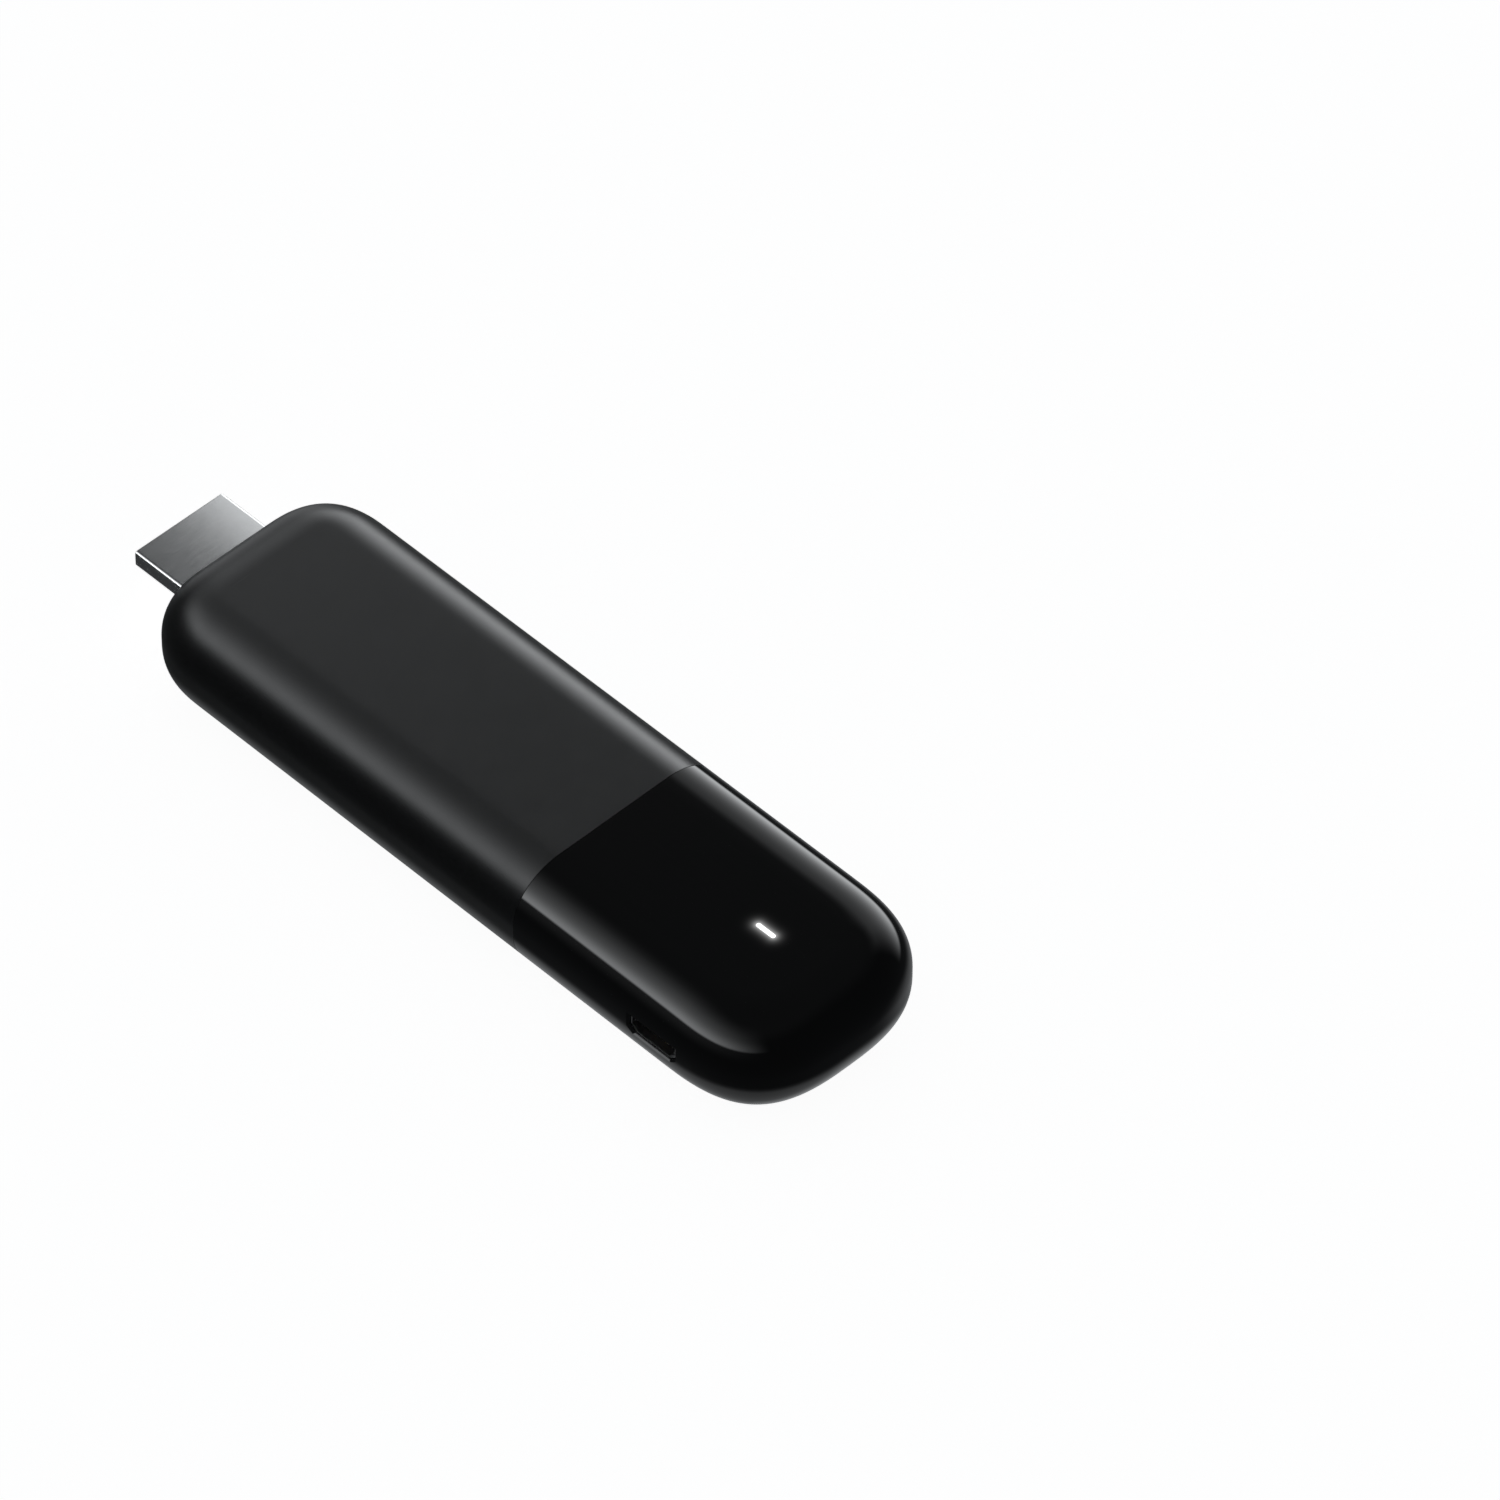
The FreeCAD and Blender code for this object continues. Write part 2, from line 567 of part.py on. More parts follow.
def make_plug_contacts():
    """Nineteen spring contacts in two rows, each bowed into the slot near the mouth."""
    seat = BOARD_THICKNESS / 2 + CONTACT_LIFT
    high = seat + CONTACT_HIGH
    bow = seat + CONTACT_BOW
    line = [
        (CONTACT_TAIL_X, seat), (CONTACT_BEND_X[0], seat), (CONTACT_BEND_X[1], high),
        (CONTACT_BOW_X[0], bow), (CONTACT_BOW_X[1], bow), (CONTACT_NOSE_X, high),
    ]
    outer = [(x, z + CONTACT_THICKNESS) for x, z in reversed(line)]
    solids = []
    for side, y in contact_rows():
        points = [(x, PLUG_MID_Z + side * z) for x, z in line + outer]
        solids.append(prism_along_y(points, (y - CONTACT_WIDTH / 2, y + CONTACT_WIDTH / 2)))
    return Part.makeCompound(solids)


# ---- Board -----------------------------------------------------------------------------
def make_main_board():
    """Circuit board, notched for the plug's legs and for the sunk power socket."""
    board = outline_slab(BOARD_INSET, (BOARD_BOTTOM_Z, BOARD_TOP_Z))
    plug_edge = block((PLUG_TIP_X, PLUG_REAR_X), (-BODY_WIDTH, BODY_WIDTH), (0, BODY_HEIGHT))
    reach = SOCKET_WIDTH / 2 + FIT_GAP
    socket_notch = block(
        (SOCKET_X - reach, SOCKET_X + reach),
        (-BODY_WIDTH, socket_back_y() + FIT_GAP),
        (0, BODY_HEIGHT),
    )
    leg_slots = []
    for leg in plug_legs():
        box = leg.BoundBox
        leg_slots.append(block(
            (PLUG_REAR_X - 1, box.XMax + FIT_GAP), (box.YMin - FIT_GAP, box.YMax + FIT_GAP),
            (0, BODY_HEIGHT),
        ))
    return board.cut([plug_edge, socket_notch] + leg_slots)


def make_shield_frame(x_range, half_width, height):
    """Upright fence soldered to the board around the main chips."""
    z_range = (BOARD_TOP_Z, BOARD_TOP_Z + height)
    inset = SHIELD_SHEET + FIT_GAP / 2
    outer = block(
        (x_range[0] + inset, x_range[1] - inset), (-half_width + inset, half_width - inset), z_range
    )
    inner = block(
        (x_range[0] + inset + SHIELD_SHEET, x_range[1] - inset - SHIELD_SHEET),
        (-half_width + inset + SHIELD_SHEET, half_width - inset - SHIELD_SHEET), z_range,
    )
    return outer.cut(inner)


def make_shield_can(x_range, half_width, board_z, height, side, foot_gap, vent_rows):
    """Pressed lid with turned-down sides and a grid of vent holes."""
    top_z = board_z + side * height
    foot_z = board_z + side * foot_gap
    roof_z = top_z - side * SHIELD_SHEET
    outer = block(x_range, (-half_width, half_width), sorted((foot_z, top_z)))
    vertical = [e for e in outer.Edges if e.BoundBox.ZLength > height / 2]
    outer = outer.makeFillet(2 * SHIELD_SHEET, vertical)
    inner = block(
        (x_range[0] + SHIELD_SHEET, x_range[1] - SHIELD_SHEET),
        (-half_width + SHIELD_SHEET, half_width - SHIELD_SHEET),
        sorted((foot_z, roof_z)),
    )
    holes = []
    count = int((x_range[1] - x_range[0] - 2 * SHIELD_VENT_MARGIN) / SHIELD_VENT_PITCH)
    start_x = (x_range[0] + x_range[1]) / 2 - SHIELD_VENT_PITCH * (count - 1) / 2
    low_z = min(top_z, roof_z)
    for y in vent_rows:
        for i in range(count):
            centre = Vector(start_x + i * SHIELD_VENT_PITCH, y, low_z)
            holes.append(Part.makeCylinder(SHIELD_VENT_RADIUS, SHIELD_SHEET, centre))
    return outer.cut([inner] + holes).Solids[0]


def make_memory_chips():
    """Two memory chips side by side, next to the processor."""
    return Part.makeCompound([
        package(MEMORY_X, side * MEMORY_Y, MEMORY_SIZE, BOARD_TOP_Z) for side in (1, -1)
    ])


def make_inductors():
    """Three square power inductors on the back of the board."""
    size = (INDUCTOR_SIZE, INDUCTOR_SIZE, INDUCTOR_HEIGHT)
    solids = []
    for i in (-1, 0, 1):
        solids.append(package(INDUCTOR_X, i * INDUCTOR_PITCH, size, BOARD_BOTTOM_Z, side=-1))
    return Part.makeCompound(solids)


def passive_row(centre_x, y, count, size, side):
    """A row of small two-ended components along X."""
    start_x = centre_x - PASSIVE_PITCH * (count - 1) / 2
    board_z = BOARD_TOP_Z if side > 0 else BOARD_BOTTOM_Z - size[2]
    return [block_on(start_x + i * PASSIVE_PITCH, y, size, board_z) for i in range(count)]


def make_capacitors():
    """Chip capacitors round the processor, the flash memory and the power chip."""
    solids = []
    for edge in (-1, 1):
        solids += passive_row(PROCESSOR_X, edge * CAPACITOR_ROW_Y, 8, CAPACITOR_SIZE, 1)
        solids += passive_row(FLASH_X, edge * FLASH_ROW_Y, 7, CAPACITOR_SIZE, -1)
        solids += passive_row(POWER_ROW_X, edge * CAPACITOR_ROW_Y, 9, CAPACITOR_SIZE, -1)
    return Part.makeCompound(solids)


def make_resistors():
    """Chip resistors beside the memory, the radio and the power chip."""
    solids = []
    for edge in (-1, 1):
        solids += passive_row(RADIO_ROW_X, edge * RESISTOR_ROW_Y, 7, RESISTOR_SIZE, 1)
        solids += passive_row(POWER_CHIP_X, edge * POWER_RESISTOR_ROW_Y, 2, RESISTOR_SIZE, -1)
    solids += passive_row(PLUG_ROW_X, 0, 5, RESISTOR_SIZE, -1)
    return Part.makeCompound(solids)


def make_aerial():
    """Stamped aerial on the +Y side: a raised strip with two soldered legs."""
    top_z = BOARD_TOP_Z + AERIAL_HEIGHT
    y_range = (AERIAL_INNER_Y, AERIAL_INNER_Y + AERIAL_WIDTH)
    strip = block((AERIAL_START_X, AERIAL_END_X), y_range, (top_z - AERIAL_SHEET, top_z))
    legs = []
    for x in (AERIAL_START_X, AERIAL_START_X + AERIAL_LEG_PITCH):
        legs.append(block(
            (x, x + AERIAL_LEG_WIDTH), (AERIAL_INNER_Y, AERIAL_INNER_Y + AERIAL_SHEET),
            (BOARD_TOP_Z, top_z),
        ))
    notch = block(
        (AERIAL_START_X + AERIAL_NOTCH_FROM_START, AERIAL_END_X - AERIAL_NOTCH_TO_END),
        (y_range[0] - 1, y_range[0] + AERIAL_NOTCH_DEPTH),
        (BOARD_TOP_Z, BODY_HEIGHT),
    )
    return strip.fuse(legs).cut(notch).removeSplitter()


# ---- Heat path -------------------------------------------------------------------------
def make_spreader(side, pedestal_x, pedestal_z):
    """Aluminium spreader behind one face, with wings and a pedestal on the hot chip."""
    face_z = MID_Z + side * (BODY_HEIGHT / 2 - WALL - SPREADER_GAP)
    inner_z = face_z - side * SPREADER_THICKNESS
    wing_z = face_z - side * SPREADER_WING_DROP
    section = [
        (-SPREADER_HALF_WIDTH, wing_z), (-SPREADER_FLAT, face_z),
        (SPREADER_FLAT, face_z), (SPREADER_HALF_WIDTH, wing_z),
        (SPREADER_HALF_WIDTH, wing_z - side * SPREADER_THICKNESS), (SPREADER_FLAT, inner_z),
        (-SPREADER_FLAT, inner_z), (-SPREADER_HALF_WIDTH, wing_z - side * SPREADER_THICKNESS),
    ]
    plate = prism_along_x(section, (SPREADER_START_X, SPREADER_END_X))
    low_z, high_z = sorted((pedestal_z, face_z - side * SPREADER_THICKNESS / 2))
    size = (PEDESTAL_SIZE[0], PEDESTAL_SIZE[1], high_z - low_z)
    return plate.fuse(block_on(pedestal_x, 0, size, low_z)).removeSplitter()


def pad(centre_x, z_from, z_to):
    """Soft thermal pad between two surfaces."""
    low_z, high_z = sorted((z_from, z_to))
    return block_on(centre_x, 0, (PEDESTAL_SIZE[0], PEDESTAL_SIZE[1], high_z - low_z), low_z)


# ---- Power socket ----------------------------------------------------------------------
def socket_front_y():
    """Y of the socket's lip."""
    return -BODY_WIDTH / 2 + SOCKET_RECESS


def socket_back_y():
    """Y of the socket's rear wall."""
    return socket_front_y() + SOCKET_DEPTH


def make_socket_shell():
    """Stamped shell of the socket, closed at the rear, with flanges on the board."""
    y_range = (socket_front_y(), socket_back_y())
    shell = prism_along_y(socket_profile(0), y_range)
    hollow = prism_along_y(
        socket_profile(-SOCKET_SHEET), (y_range[0] - 1, y_range[1] - SOCKET_SHEET)
    )
    flange = block(
        (SOCKET_X + SOCKET_WIDTH / 2 - SOCKET_SHEET, SOCKET_X + SOCKET_WIDTH / 2 + SOCKET_FLANGE_REACH),
        (y_range[1] - SOCKET_FLANGE_FROM_BACK - SOCKET_FLANGE_LENGTH,
         y_range[1] - SOCKET_FLANGE_FROM_BACK),
        (BOARD_TOP_Z, BOARD_TOP_Z + SOCKET_SHEET),
    )
    other = flange.mirror(Vector(SOCKET_X, 0, 0), Vector(1, 0, 0))
    return shell.fuse([flange, other]).cut(hollow)


def tongue_bottom_z():
    """Underside of the socket's tongue."""
    return SOCKET_Z + SOCKET_TONGUE_LIFT


def make_socket_tongue():
    """Moulded tongue inside the socket with its rear block."""
    back_y = socket_back_y() - SOCKET_SHEET
    half = SOCKET_TONGUE_WIDTH / 2
    tongue = block(
        (SOCKET_X - half, SOCKET_X + half), (socket_front_y() + SOCKET_TONGUE_RECESS, back_y),
        (tongue_bottom_z(), tongue_bottom_z() + SOCKET_TONGUE_THICKNESS),
    )
    rear = prism_along_y(socket_profile(-SOCKET_SHEET), (back_y - SOCKET_REAR_BLOCK, back_y))
    return tongue.fuse(rear).cut(socket_contact_strips()).removeSplitter()


def socket_contact_strips():
    """Five flat contacts let into the underside of the tongue."""
    start = SOCKET_X - SOCKET_CONTACT_PITCH * (SOCKET_CONTACTS - 1) / 2
    strips = []
    for i in range(SOCKET_CONTACTS):
        x = start + i * SOCKET_CONTACT_PITCH
        strips.append(block(
            (x - SOCKET_CONTACT_WIDTH / 2, x + SOCKET_CONTACT_WIDTH / 2),
            (socket_front_y() + SOCKET_CONTACT_RECESS,
             socket_back_y() - SOCKET_SHEET - SOCKET_CONTACT_END),
            (tongue_bottom_z(), tongue_bottom_z() + SOCKET_CONTACT_THICKNESS),
        ))
    return strips


# ---- Status light ----------------------------------------------------------------------
def make_light_pipe():
    """Clear guide: flush window, flange bonded under the wall, stem down to the lamp."""
    window = slot_prism(
        LIGHT_X, 0, LIGHT_LENGTH - 2 * LIGHT_GAP, LIGHT_WIDTH - 2 * LIGHT_GAP,
        (INNER_TOP_Z - LIGHT_FLANGE_THICKNESS, BODY_HEIGHT),
    )
    flange = slot_prism(
        LIGHT_X, 0, LIGHT_FLANGE_LENGTH, LIGHT_FLANGE_WIDTH,
        (INNER_TOP_Z - LIGHT_FLANGE_THICKNESS, INNER_TOP_Z),
    )
    stem = slot_prism(
        LIGHT_X, 0, LIGHT_LENGTH, LIGHT_STEM_WIDTH,
        (LIGHT_STEM_BOTTOM_Z, INNER_TOP_Z - LIGHT_FLANGE_THICKNESS / 2),
    )
    return window.fuse([flange, stem]).removeSplitter()


def make_light_seal():
    """Foam collar round the lamp that keeps its light inside the guide."""
    collar = block_on(LIGHT_X, 0, SEAL_SIZE, BOARD_TOP_Z)
    hole = slot_prism(
        LIGHT_X, 0, SEAL_HOLE[0], SEAL_HOLE[1], (BOARD_TOP_Z - 1, BOARD_TOP_Z + SEAL_SIZE[2] + 1)
    )
    return collar.cut(hole)


# ---- Assembly --------------------------------------------------------------------------
def build_nodes():
    """Every separate piece of the player, by name."""
    front_lid_z = BOARD_TOP_Z + FRONT_SHIELD_HEIGHT
    rear_lid_z = BOARD_BOTTOM_Z - REAR_SHIELD_HEIGHT
    chip_top_z = BOARD_TOP_Z + PROCESSOR_SIZE[2]
    side_vents = (-SHIELD_VENT_Y, SHIELD_VENT_Y)
    aerial = make_aerial()
    return {
        "main_sleeve": make_main_sleeve(),
        "end_cap": make_end_cap(),
        "indicator_light_pipe": make_light_pipe(),
        "indicator_light_seal": make_light_seal(),
        "status_led": package(LIGHT_X, 0, LED_SIZE, BOARD_TOP_Z),
        "board_frame": make_board_frame(),
        "main_board": make_main_board(),
        "video_plug_shell": make_plug_shell(),
        "video_plug_insulator": make_plug_insulator(),
        "video_plug_contacts": make_plug_contacts(),
        "power_socket_shell": make_socket_shell(),
        "power_socket_tongue": make_socket_tongue(),
        "power_socket_contacts": Part.makeCompound(socket_contact_strips()),
        "processor": package(PROCESSOR_X, 0, PROCESSOR_SIZE, BOARD_TOP_Z),
        "memory_chips": make_memory_chips(),
        "flash_memory": package(FLASH_X, 0, FLASH_SIZE, BOARD_BOTTOM_Z, side=-1),
        "power_chip": package(POWER_CHIP_X, 0, POWER_CHIP_SIZE, BOARD_BOTTOM_Z, side=-1),
        "radio_chip": package(RADIO_CHIP_X, 0, RADIO_CHIP_SIZE, BOARD_TOP_Z),
        "clock_crystal": package(
            CRYSTAL_POSITION[0], CRYSTAL_POSITION[1], CRYSTAL_SIZE, BOARD_TOP_Z
        ),
        "power_inductors": make_inductors(),
        "chip_capacitors": make_capacitors(),
        "chip_resistors": make_resistors(),
        "front_shield_frame": make_shield_frame(
            FRONT_SHIELD_X, FRONT_SHIELD_HALF_WIDTH, FRONT_SHIELD_HEIGHT - SHIELD_SHEET
        ),
        "front_shield_lid": make_shield_can(
            FRONT_SHIELD_X, FRONT_SHIELD_HALF_WIDTH, BOARD_TOP_Z, FRONT_SHIELD_HEIGHT, 1,
            SHIELD_LID_FOOT_GAP, side_vents,
        ),
        "rear_shield_can": make_shield_can(
            REAR_SHIELD_X, REAR_SHIELD_HALF_WIDTH, BOARD_BOTTOM_Z, REAR_SHIELD_HEIGHT, -1,
            0, side_vents,
        ),
        "radio_shield_can": make_shield_can(
            RADIO_SHIELD_X, RADIO_SHIELD_HALF_WIDTH, BOARD_TOP_Z, RADIO_SHIELD_HEIGHT, 1,
            0, (-RADIO_VENT_Y, RADIO_VENT_Y),
        ),
        "processor_thermal_pad": pad(PROCESSOR_X, chip_top_z, front_lid_z - SHIELD_SHEET),
        "front_thermal_pad": pad(PROCESSOR_X, front_lid_z, front_lid_z + PAD_THICKNESS),
        "rear_thermal_pad": pad(FLASH_X, rear_lid_z, rear_lid_z - PAD_THICKNESS),
        "front_heat_spreader": make_spreader(1, PROCESSOR_X, front_lid_z + PAD_THICKNESS),
        "rear_heat_spreader": make_spreader(-1, FLASH_X, rear_lid_z - PAD_THICKNESS),
        "left_aerial": aerial,
        "right_aerial": mirrored_in_y(aerial),
    }


os.makedirs("parts", exist_ok=True)
for name, shape in build_nodes().items():
    shape.exportStep(f"parts/{name}.step")
    print(f"{name:24s} {len(shape.Solids):3d} solids  {shape.Volume:9.1f} mm3")
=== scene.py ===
"""Looks of the streaming stick: smooth housing shells, materials, studio and camera."""

from math import cos, pi, radians, sin

import bmesh
import bpy
from mathutils import Matrix, Vector
from mathutils.bvhtree import BVHTree
from mathutils.interpolate import poly_3d_calc


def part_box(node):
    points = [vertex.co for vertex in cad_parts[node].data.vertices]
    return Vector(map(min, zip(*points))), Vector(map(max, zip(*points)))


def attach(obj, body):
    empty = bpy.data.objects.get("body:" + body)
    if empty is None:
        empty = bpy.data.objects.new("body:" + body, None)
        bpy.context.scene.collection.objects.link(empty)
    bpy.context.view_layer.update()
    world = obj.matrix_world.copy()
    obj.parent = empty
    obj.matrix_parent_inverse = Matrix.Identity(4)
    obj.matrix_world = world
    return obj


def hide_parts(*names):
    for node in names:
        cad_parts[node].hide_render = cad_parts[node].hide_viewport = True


MM = 0.001

# ---- Shape of the housing (metres); its place and outer size come from the frame --------
PLUG_CORNER = 10.6 * MM         # plan corner beside the plug
PLUG_CORNER_POWER = 2.36
CAP_CORNER = 15.7 * MM          # depth of the rounded end in plan
CAP_CORNER_POWER = 2.77
EDGE_ACROSS = 7.45 * MM         # the long edge's rounding, measured across
EDGE_UP = 6.9 * MM              # and up
EDGE_POWER = 2.1
WALL = 1.4 * MM
PARTING_EDGE = 0.04 * MM        # softened edge where sleeve and cap meet
EDGE_STEPS = 36
PLUG_CORNER_STEPS = 36
CAP_CORNER_STEPS = 60
ACROSS_STEPS = 12               # quads across a big flat face
STRAIGHT_STEP = 4 * MM
SHARP_ANGLE = 28                # degrees; steeper edges stay crisp

# ---- Spigot of the cap -------------------------------------------------------------------
SPIGOT_LENGTH = 5.0 * MM
SPIGOT_ROOT = 2.0 * MM
SPIGOT_GAP = 0.05 * MM
SPIGOT_WALL = 0.95 * MM
SPIGOT_CHAMFER = 0.3 * MM

# ---- Openings ----------------------------------------------------------------------------
PLUG_CLEARANCE = 0.12 * MM
PLUG_SIDE = 2.3 * MM            # upright side of the plug's section
PLUG_LEDGE = 1.0 * MM           # step in from the side, across
PLUG_LEDGE_DROP = 0.22 * MM     # and down
PLUG_SLOPE = 1.05 * MM          # slope from the step to the narrow face, across
SOCKET_DROP = 0.3 * MM          # socket centre below mid-height
SOCKET_WIDTH = 7.3 * MM
SOCKET_HEIGHT = 2.4 * MM
SOCKET_BEVEL_ACROSS = 0.92 * MM
SOCKET_BEVEL_UP = 0.8 * MM
SOCKET_WINDOW_GAP = 0.06 * MM
WINDOW_DEPTH = 3.95 * MM        # cut from the side, well through the wall
SOCKET_LEAD_IN = 0.26 * MM      # small bevel round the window
LIGHT_LENGTH = 2.9 * MM
LIGHT_WIDTH = 0.62 * MM
LIGHT_END_STEPS = 12
PAINTED_GLOW_REACH = 0.30 * MM         # the painted glow round the light's slot in the cap falls off over this
PAINTED_GLOW_STRENGTH = 0.42
LIGHT_STRENGTH = 1.6

# ---- Normals after cutting ---------------------------------------------------------------
INTO_FACE = 0.02                # step from a corner towards its face's centre
SAME_SURFACE = 0.9              # smallest cosine between a kept face and its source

# ---- Finishes ----------------------------------------------------------------------------
GLOSS_SPREAD = 0.12             # share by which a mottled surface's roughness varies
EDGE_HIGHLIGHT_SHARE = 0.5                # share of the painted highlight colour on the sharpest edges
EDGE_HIGHLIGHT_POINTINESS = (0.52, 0.6)   # where the painted edge highlight begins and is full

# ---- Camera ------------------------------------------------------------------------------
CAMERA_AZIMUTH = 45.59          # degrees, from the socket's side towards the cap
CAMERA_ELEVATION = 46.68
CAMERA_ROLL = 0.157
CAMERA_DISTANCE = 1.3591
VIEW_WIDTH = 0.17062            # width of the view at the object's distance
AIM_RIGHT = 0.02421             # the view's centre lies right of the body's centre
AIM_UP = 0.00592
CAMERA_CLIP = (0.05, 20)
SENSOR = 36.0

# ---- Studio ------------------------------------------------------------------------------
FLOOR_GLOW = 0.95
FLOOR_SIZE = 6.0
FLOOR_GAP = 0.1 * MM            # keeps the floor clear of the flat back of the part
ROOM_GLOW = 0.05                # even light on the object
ROOM_TINT = (0.9, 0.95, 1.0, 1)
BACKDROP = (0.97, 0.97, 0.97, 1)
LIGHT_TINT = (0.955, 0.98, 1.0, 1)
DOME_STEP = 15                  # degrees
TOP = (120, 100)                # elevations past the dome's top: a bank that never ends upwards
BOTTOM = (-120, -100)           # and past its bottom
SLEEVE_DOME_RADIUS = 1.4        # the domes differ, because light skips surfaces that coincide
POLISHED_DOME_RADIUS = 1.5
PLUG_PANEL_RISE = 50 * MM       # height over the plug
PLUG_PANEL_REACH = 60 * MM      # length beyond the plug's tip
PLUG_PANEL_Y = (24 * MM, 100 * MM)
SHOULDER_PANEL_X = (-450 * MM, -90 * MM)
SHOULDER_PANEL_Y = (-140 * MM, 320 * MM)
SHOULDER_PANEL_Z = 165 * MM


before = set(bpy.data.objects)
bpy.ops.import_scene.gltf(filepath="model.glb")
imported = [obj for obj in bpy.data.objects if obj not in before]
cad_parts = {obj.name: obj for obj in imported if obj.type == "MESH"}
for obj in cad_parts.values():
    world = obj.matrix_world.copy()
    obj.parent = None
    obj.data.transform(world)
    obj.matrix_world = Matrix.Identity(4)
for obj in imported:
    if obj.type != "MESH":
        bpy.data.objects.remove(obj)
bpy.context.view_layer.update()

sleeve_low, sleeve_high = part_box("main_sleeve")
_, cap_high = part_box("end_cap")
plug_low, plug_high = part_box("video_plug_shell")
socket_low, socket_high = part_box("power_socket_shell")
light_low, light_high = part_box("indicator_light_pipe")

BODY_START_X = sleeve_low.x
SEAM_X = sleeve_high.x
BODY_END_X = cap_high.x
HALF_WIDTH = sleeve_high.y
BODY_HEIGHT = sleeve_high.z
MID_Z = BODY_HEIGHT / 2
BODY_CENTRE = Vector(((BODY_START_X + BODY_END_X) / 2, 0, MID_Z))
SOCKET_X = (socket_low.x + socket_high.x) / 2
SOCKET_Z = MID_Z - SOCKET_DROP
LIGHT_X = (light_low.x + light_high.x) / 2


# ---- Curves ------------------------------------------------------------------------------
def superellipse(depth, width, power, angle):
    """Point on |x/depth|^power + |y/width|^power = 1 whose outward normal is at angle."""
    along = abs(depth * cos(angle))
    across = abs(width * sin(angle))
    ratio = power / (power - 1)
    size = (along ** ratio + across ** ratio) ** (1 / power)
    return depth * along ** (ratio - 1) / size, width * across ** (ratio - 1) / size


def quarter(steps):
    """Angles from 90 degrees down to 0."""
    return [pi / 2 * (1 - i / steps) for i in range(steps + 1)]


def straight(x_from, x_to):
    """Evenly spaced X positions from one end up to, but not including, the other."""
    count = max(1, round(abs(x_to - x_from) / STRAIGHT_STEP))
    return [x_from + (x_to - x_from) * i / count for i in range(count)]


def half_outline(seam_x, direction):
    """(x, y, normal x, normal y) on the +Y side, from the seam to the housing's end.

    direction is +1 for the cap's end and -1 for the plug's end.
    """
    if direction > 0:
        depth, width, power, steps = CAP_CORNER, HALF_WIDTH, CAP_CORNER_POWER, CAP_CORNER_STEPS
        centre = Vector((BODY_END_X - CAP_CORNER, 0))
    else:
        depth, width, power, steps = PLUG_CORNER, PLUG_CORNER, PLUG_CORNER_POWER, PLUG_CORNER_STEPS
        centre = Vector((BODY_START_X + PLUG_CORNER, HALF_WIDTH - PLUG_CORNER))
    points = [(x, HALF_WIDTH, 0.0, 1.0) for x in straight(seam_x, centre.x)]
    for angle in quarter(steps):
        x, y = superellipse(depth, width, power, angle)
        points.append((centre.x + direction * x, centre.y + y, direction * cos(angle), sin(angle)))
    return points


def edge_profile():
    """(inset, z, normal out, normal up) from the front face's rim to the back face's rim."""
    side = MID_Z - EDGE_UP
    upper = []
    for angle in quarter(EDGE_STEPS):
        out, up = superellipse(EDGE_ACROSS, EDGE_UP, EDGE_POWER, angle)
        upper.append((EDGE_ACROSS - out, side + up, cos(angle), sin(angle)))
    levels = [(inset, MID_Z + z, out, up) for inset, z, out, up in upper]
    levels += [(inset, MID_Z - z, out, -up) for inset, z, out, up in reversed(upper)]
    return levels


# ---- Shell meshes ------------------------------------------------------------------------
def surface_grid(outline, levels, depth):
    """Points of the skin, shifted inwards by depth: one row per level."""
    rows = []
    for inset, z, out, up in levels:
        row = []
        for x, y, normal_x, normal_y in outline:
            shift = inset + depth * out
            row.append(Vector((x - normal_x * shift, y - normal_y * shift, z - depth * up)))
        rows.append(row)
    return rows


def face_rows(rim, flat_end):
    """Rows across a big flat face between facing points of its rim."""
    half = len(rim) // 2
    count = half - ACROSS_STEPS // 2 + 1 if flat_end else half
    return [
        [rim[i].lerp(rim[-1 - i], j / ACROSS_STEPS) for j in range(ACROSS_STEPS + 1)]
        for i in range(count)
    ]


def add_rows(bm, rows, wrap=False, flip=False):
    """Quads between neighbouring rows of vertices; wrap closes each row on itself."""
    for first, second in zip(rows, rows[1:]):
        count = len(first)
        for i in range(count if wrap else count - 1):
            j = (i + 1) % count
            corners = [first[i], first[j], second[j], second[i]]
            unique = [v for k, v in enumerate(corners) if v not in corners[:k]]
            if len(unique) > 2:
                bm.faces.new(reversed(unique) if flip else unique)


def add_skin(bm, direction, depth, flip):
    """One skin of a shell, closed at its end and open at the seam.

    Returns the loop of vertices at the seam: up the +Y side, across the back, and so on.
    """
    half = half_outline(SEAM_X + direction * PARTING_EDGE, direction)
    mirrored = [(x, -y, nx, -ny) for x, y, nx, ny in reversed(half)]
    flat_end = direction < 0
    if flat_end:
        x, y, nx, ny = half[-1]
        between = [(x, y * (1 - 2 * i / ACROSS_STEPS), nx, 0.0) for i in range(1, ACROSS_STEPS)]
        outline = half + between + mirrored
    else:
        outline = half + mirrored[1:]
    grid = surface_grid(outline, edge_profile(), depth)
    rings = [[bm.verts.new(p) for p in row] for row in grid]
    add_rows(bm, rings, flip=flip)
    seams = []
    for ring, points, sign in ((rings[0], grid[0], 1), (rings[-1], grid[-1], -1)):
        shape = face_rows(points, flat_end)
        rows = []
        last = len(shape) - 1
        for i, row in enumerate(shape):
            if flat_end and i == last:
                start = len(half) - 1
                rows.append(ring[start:start + ACROSS_STEPS + 1])
                continue
            inner = [bm.verts.new(p) for p in row[1:-1]]
            rows.append([ring[i]] + inner + [ring[-1 - i]])
        if not flat_end:
            rows.append([ring[len(half) - 1]] * (ACROSS_STEPS + 1))
        add_rows(bm, rows, flip=flip if sign < 0 else not flip)
        seams.append(rows[0])
    top, bottom = seams
    right_side = [ring[0] for ring in rings]
    left_side = [ring[-1] for ring in rings]
    return right_side + bottom[1:-1] + left_side[::-1] + top[1:-1][::-1]


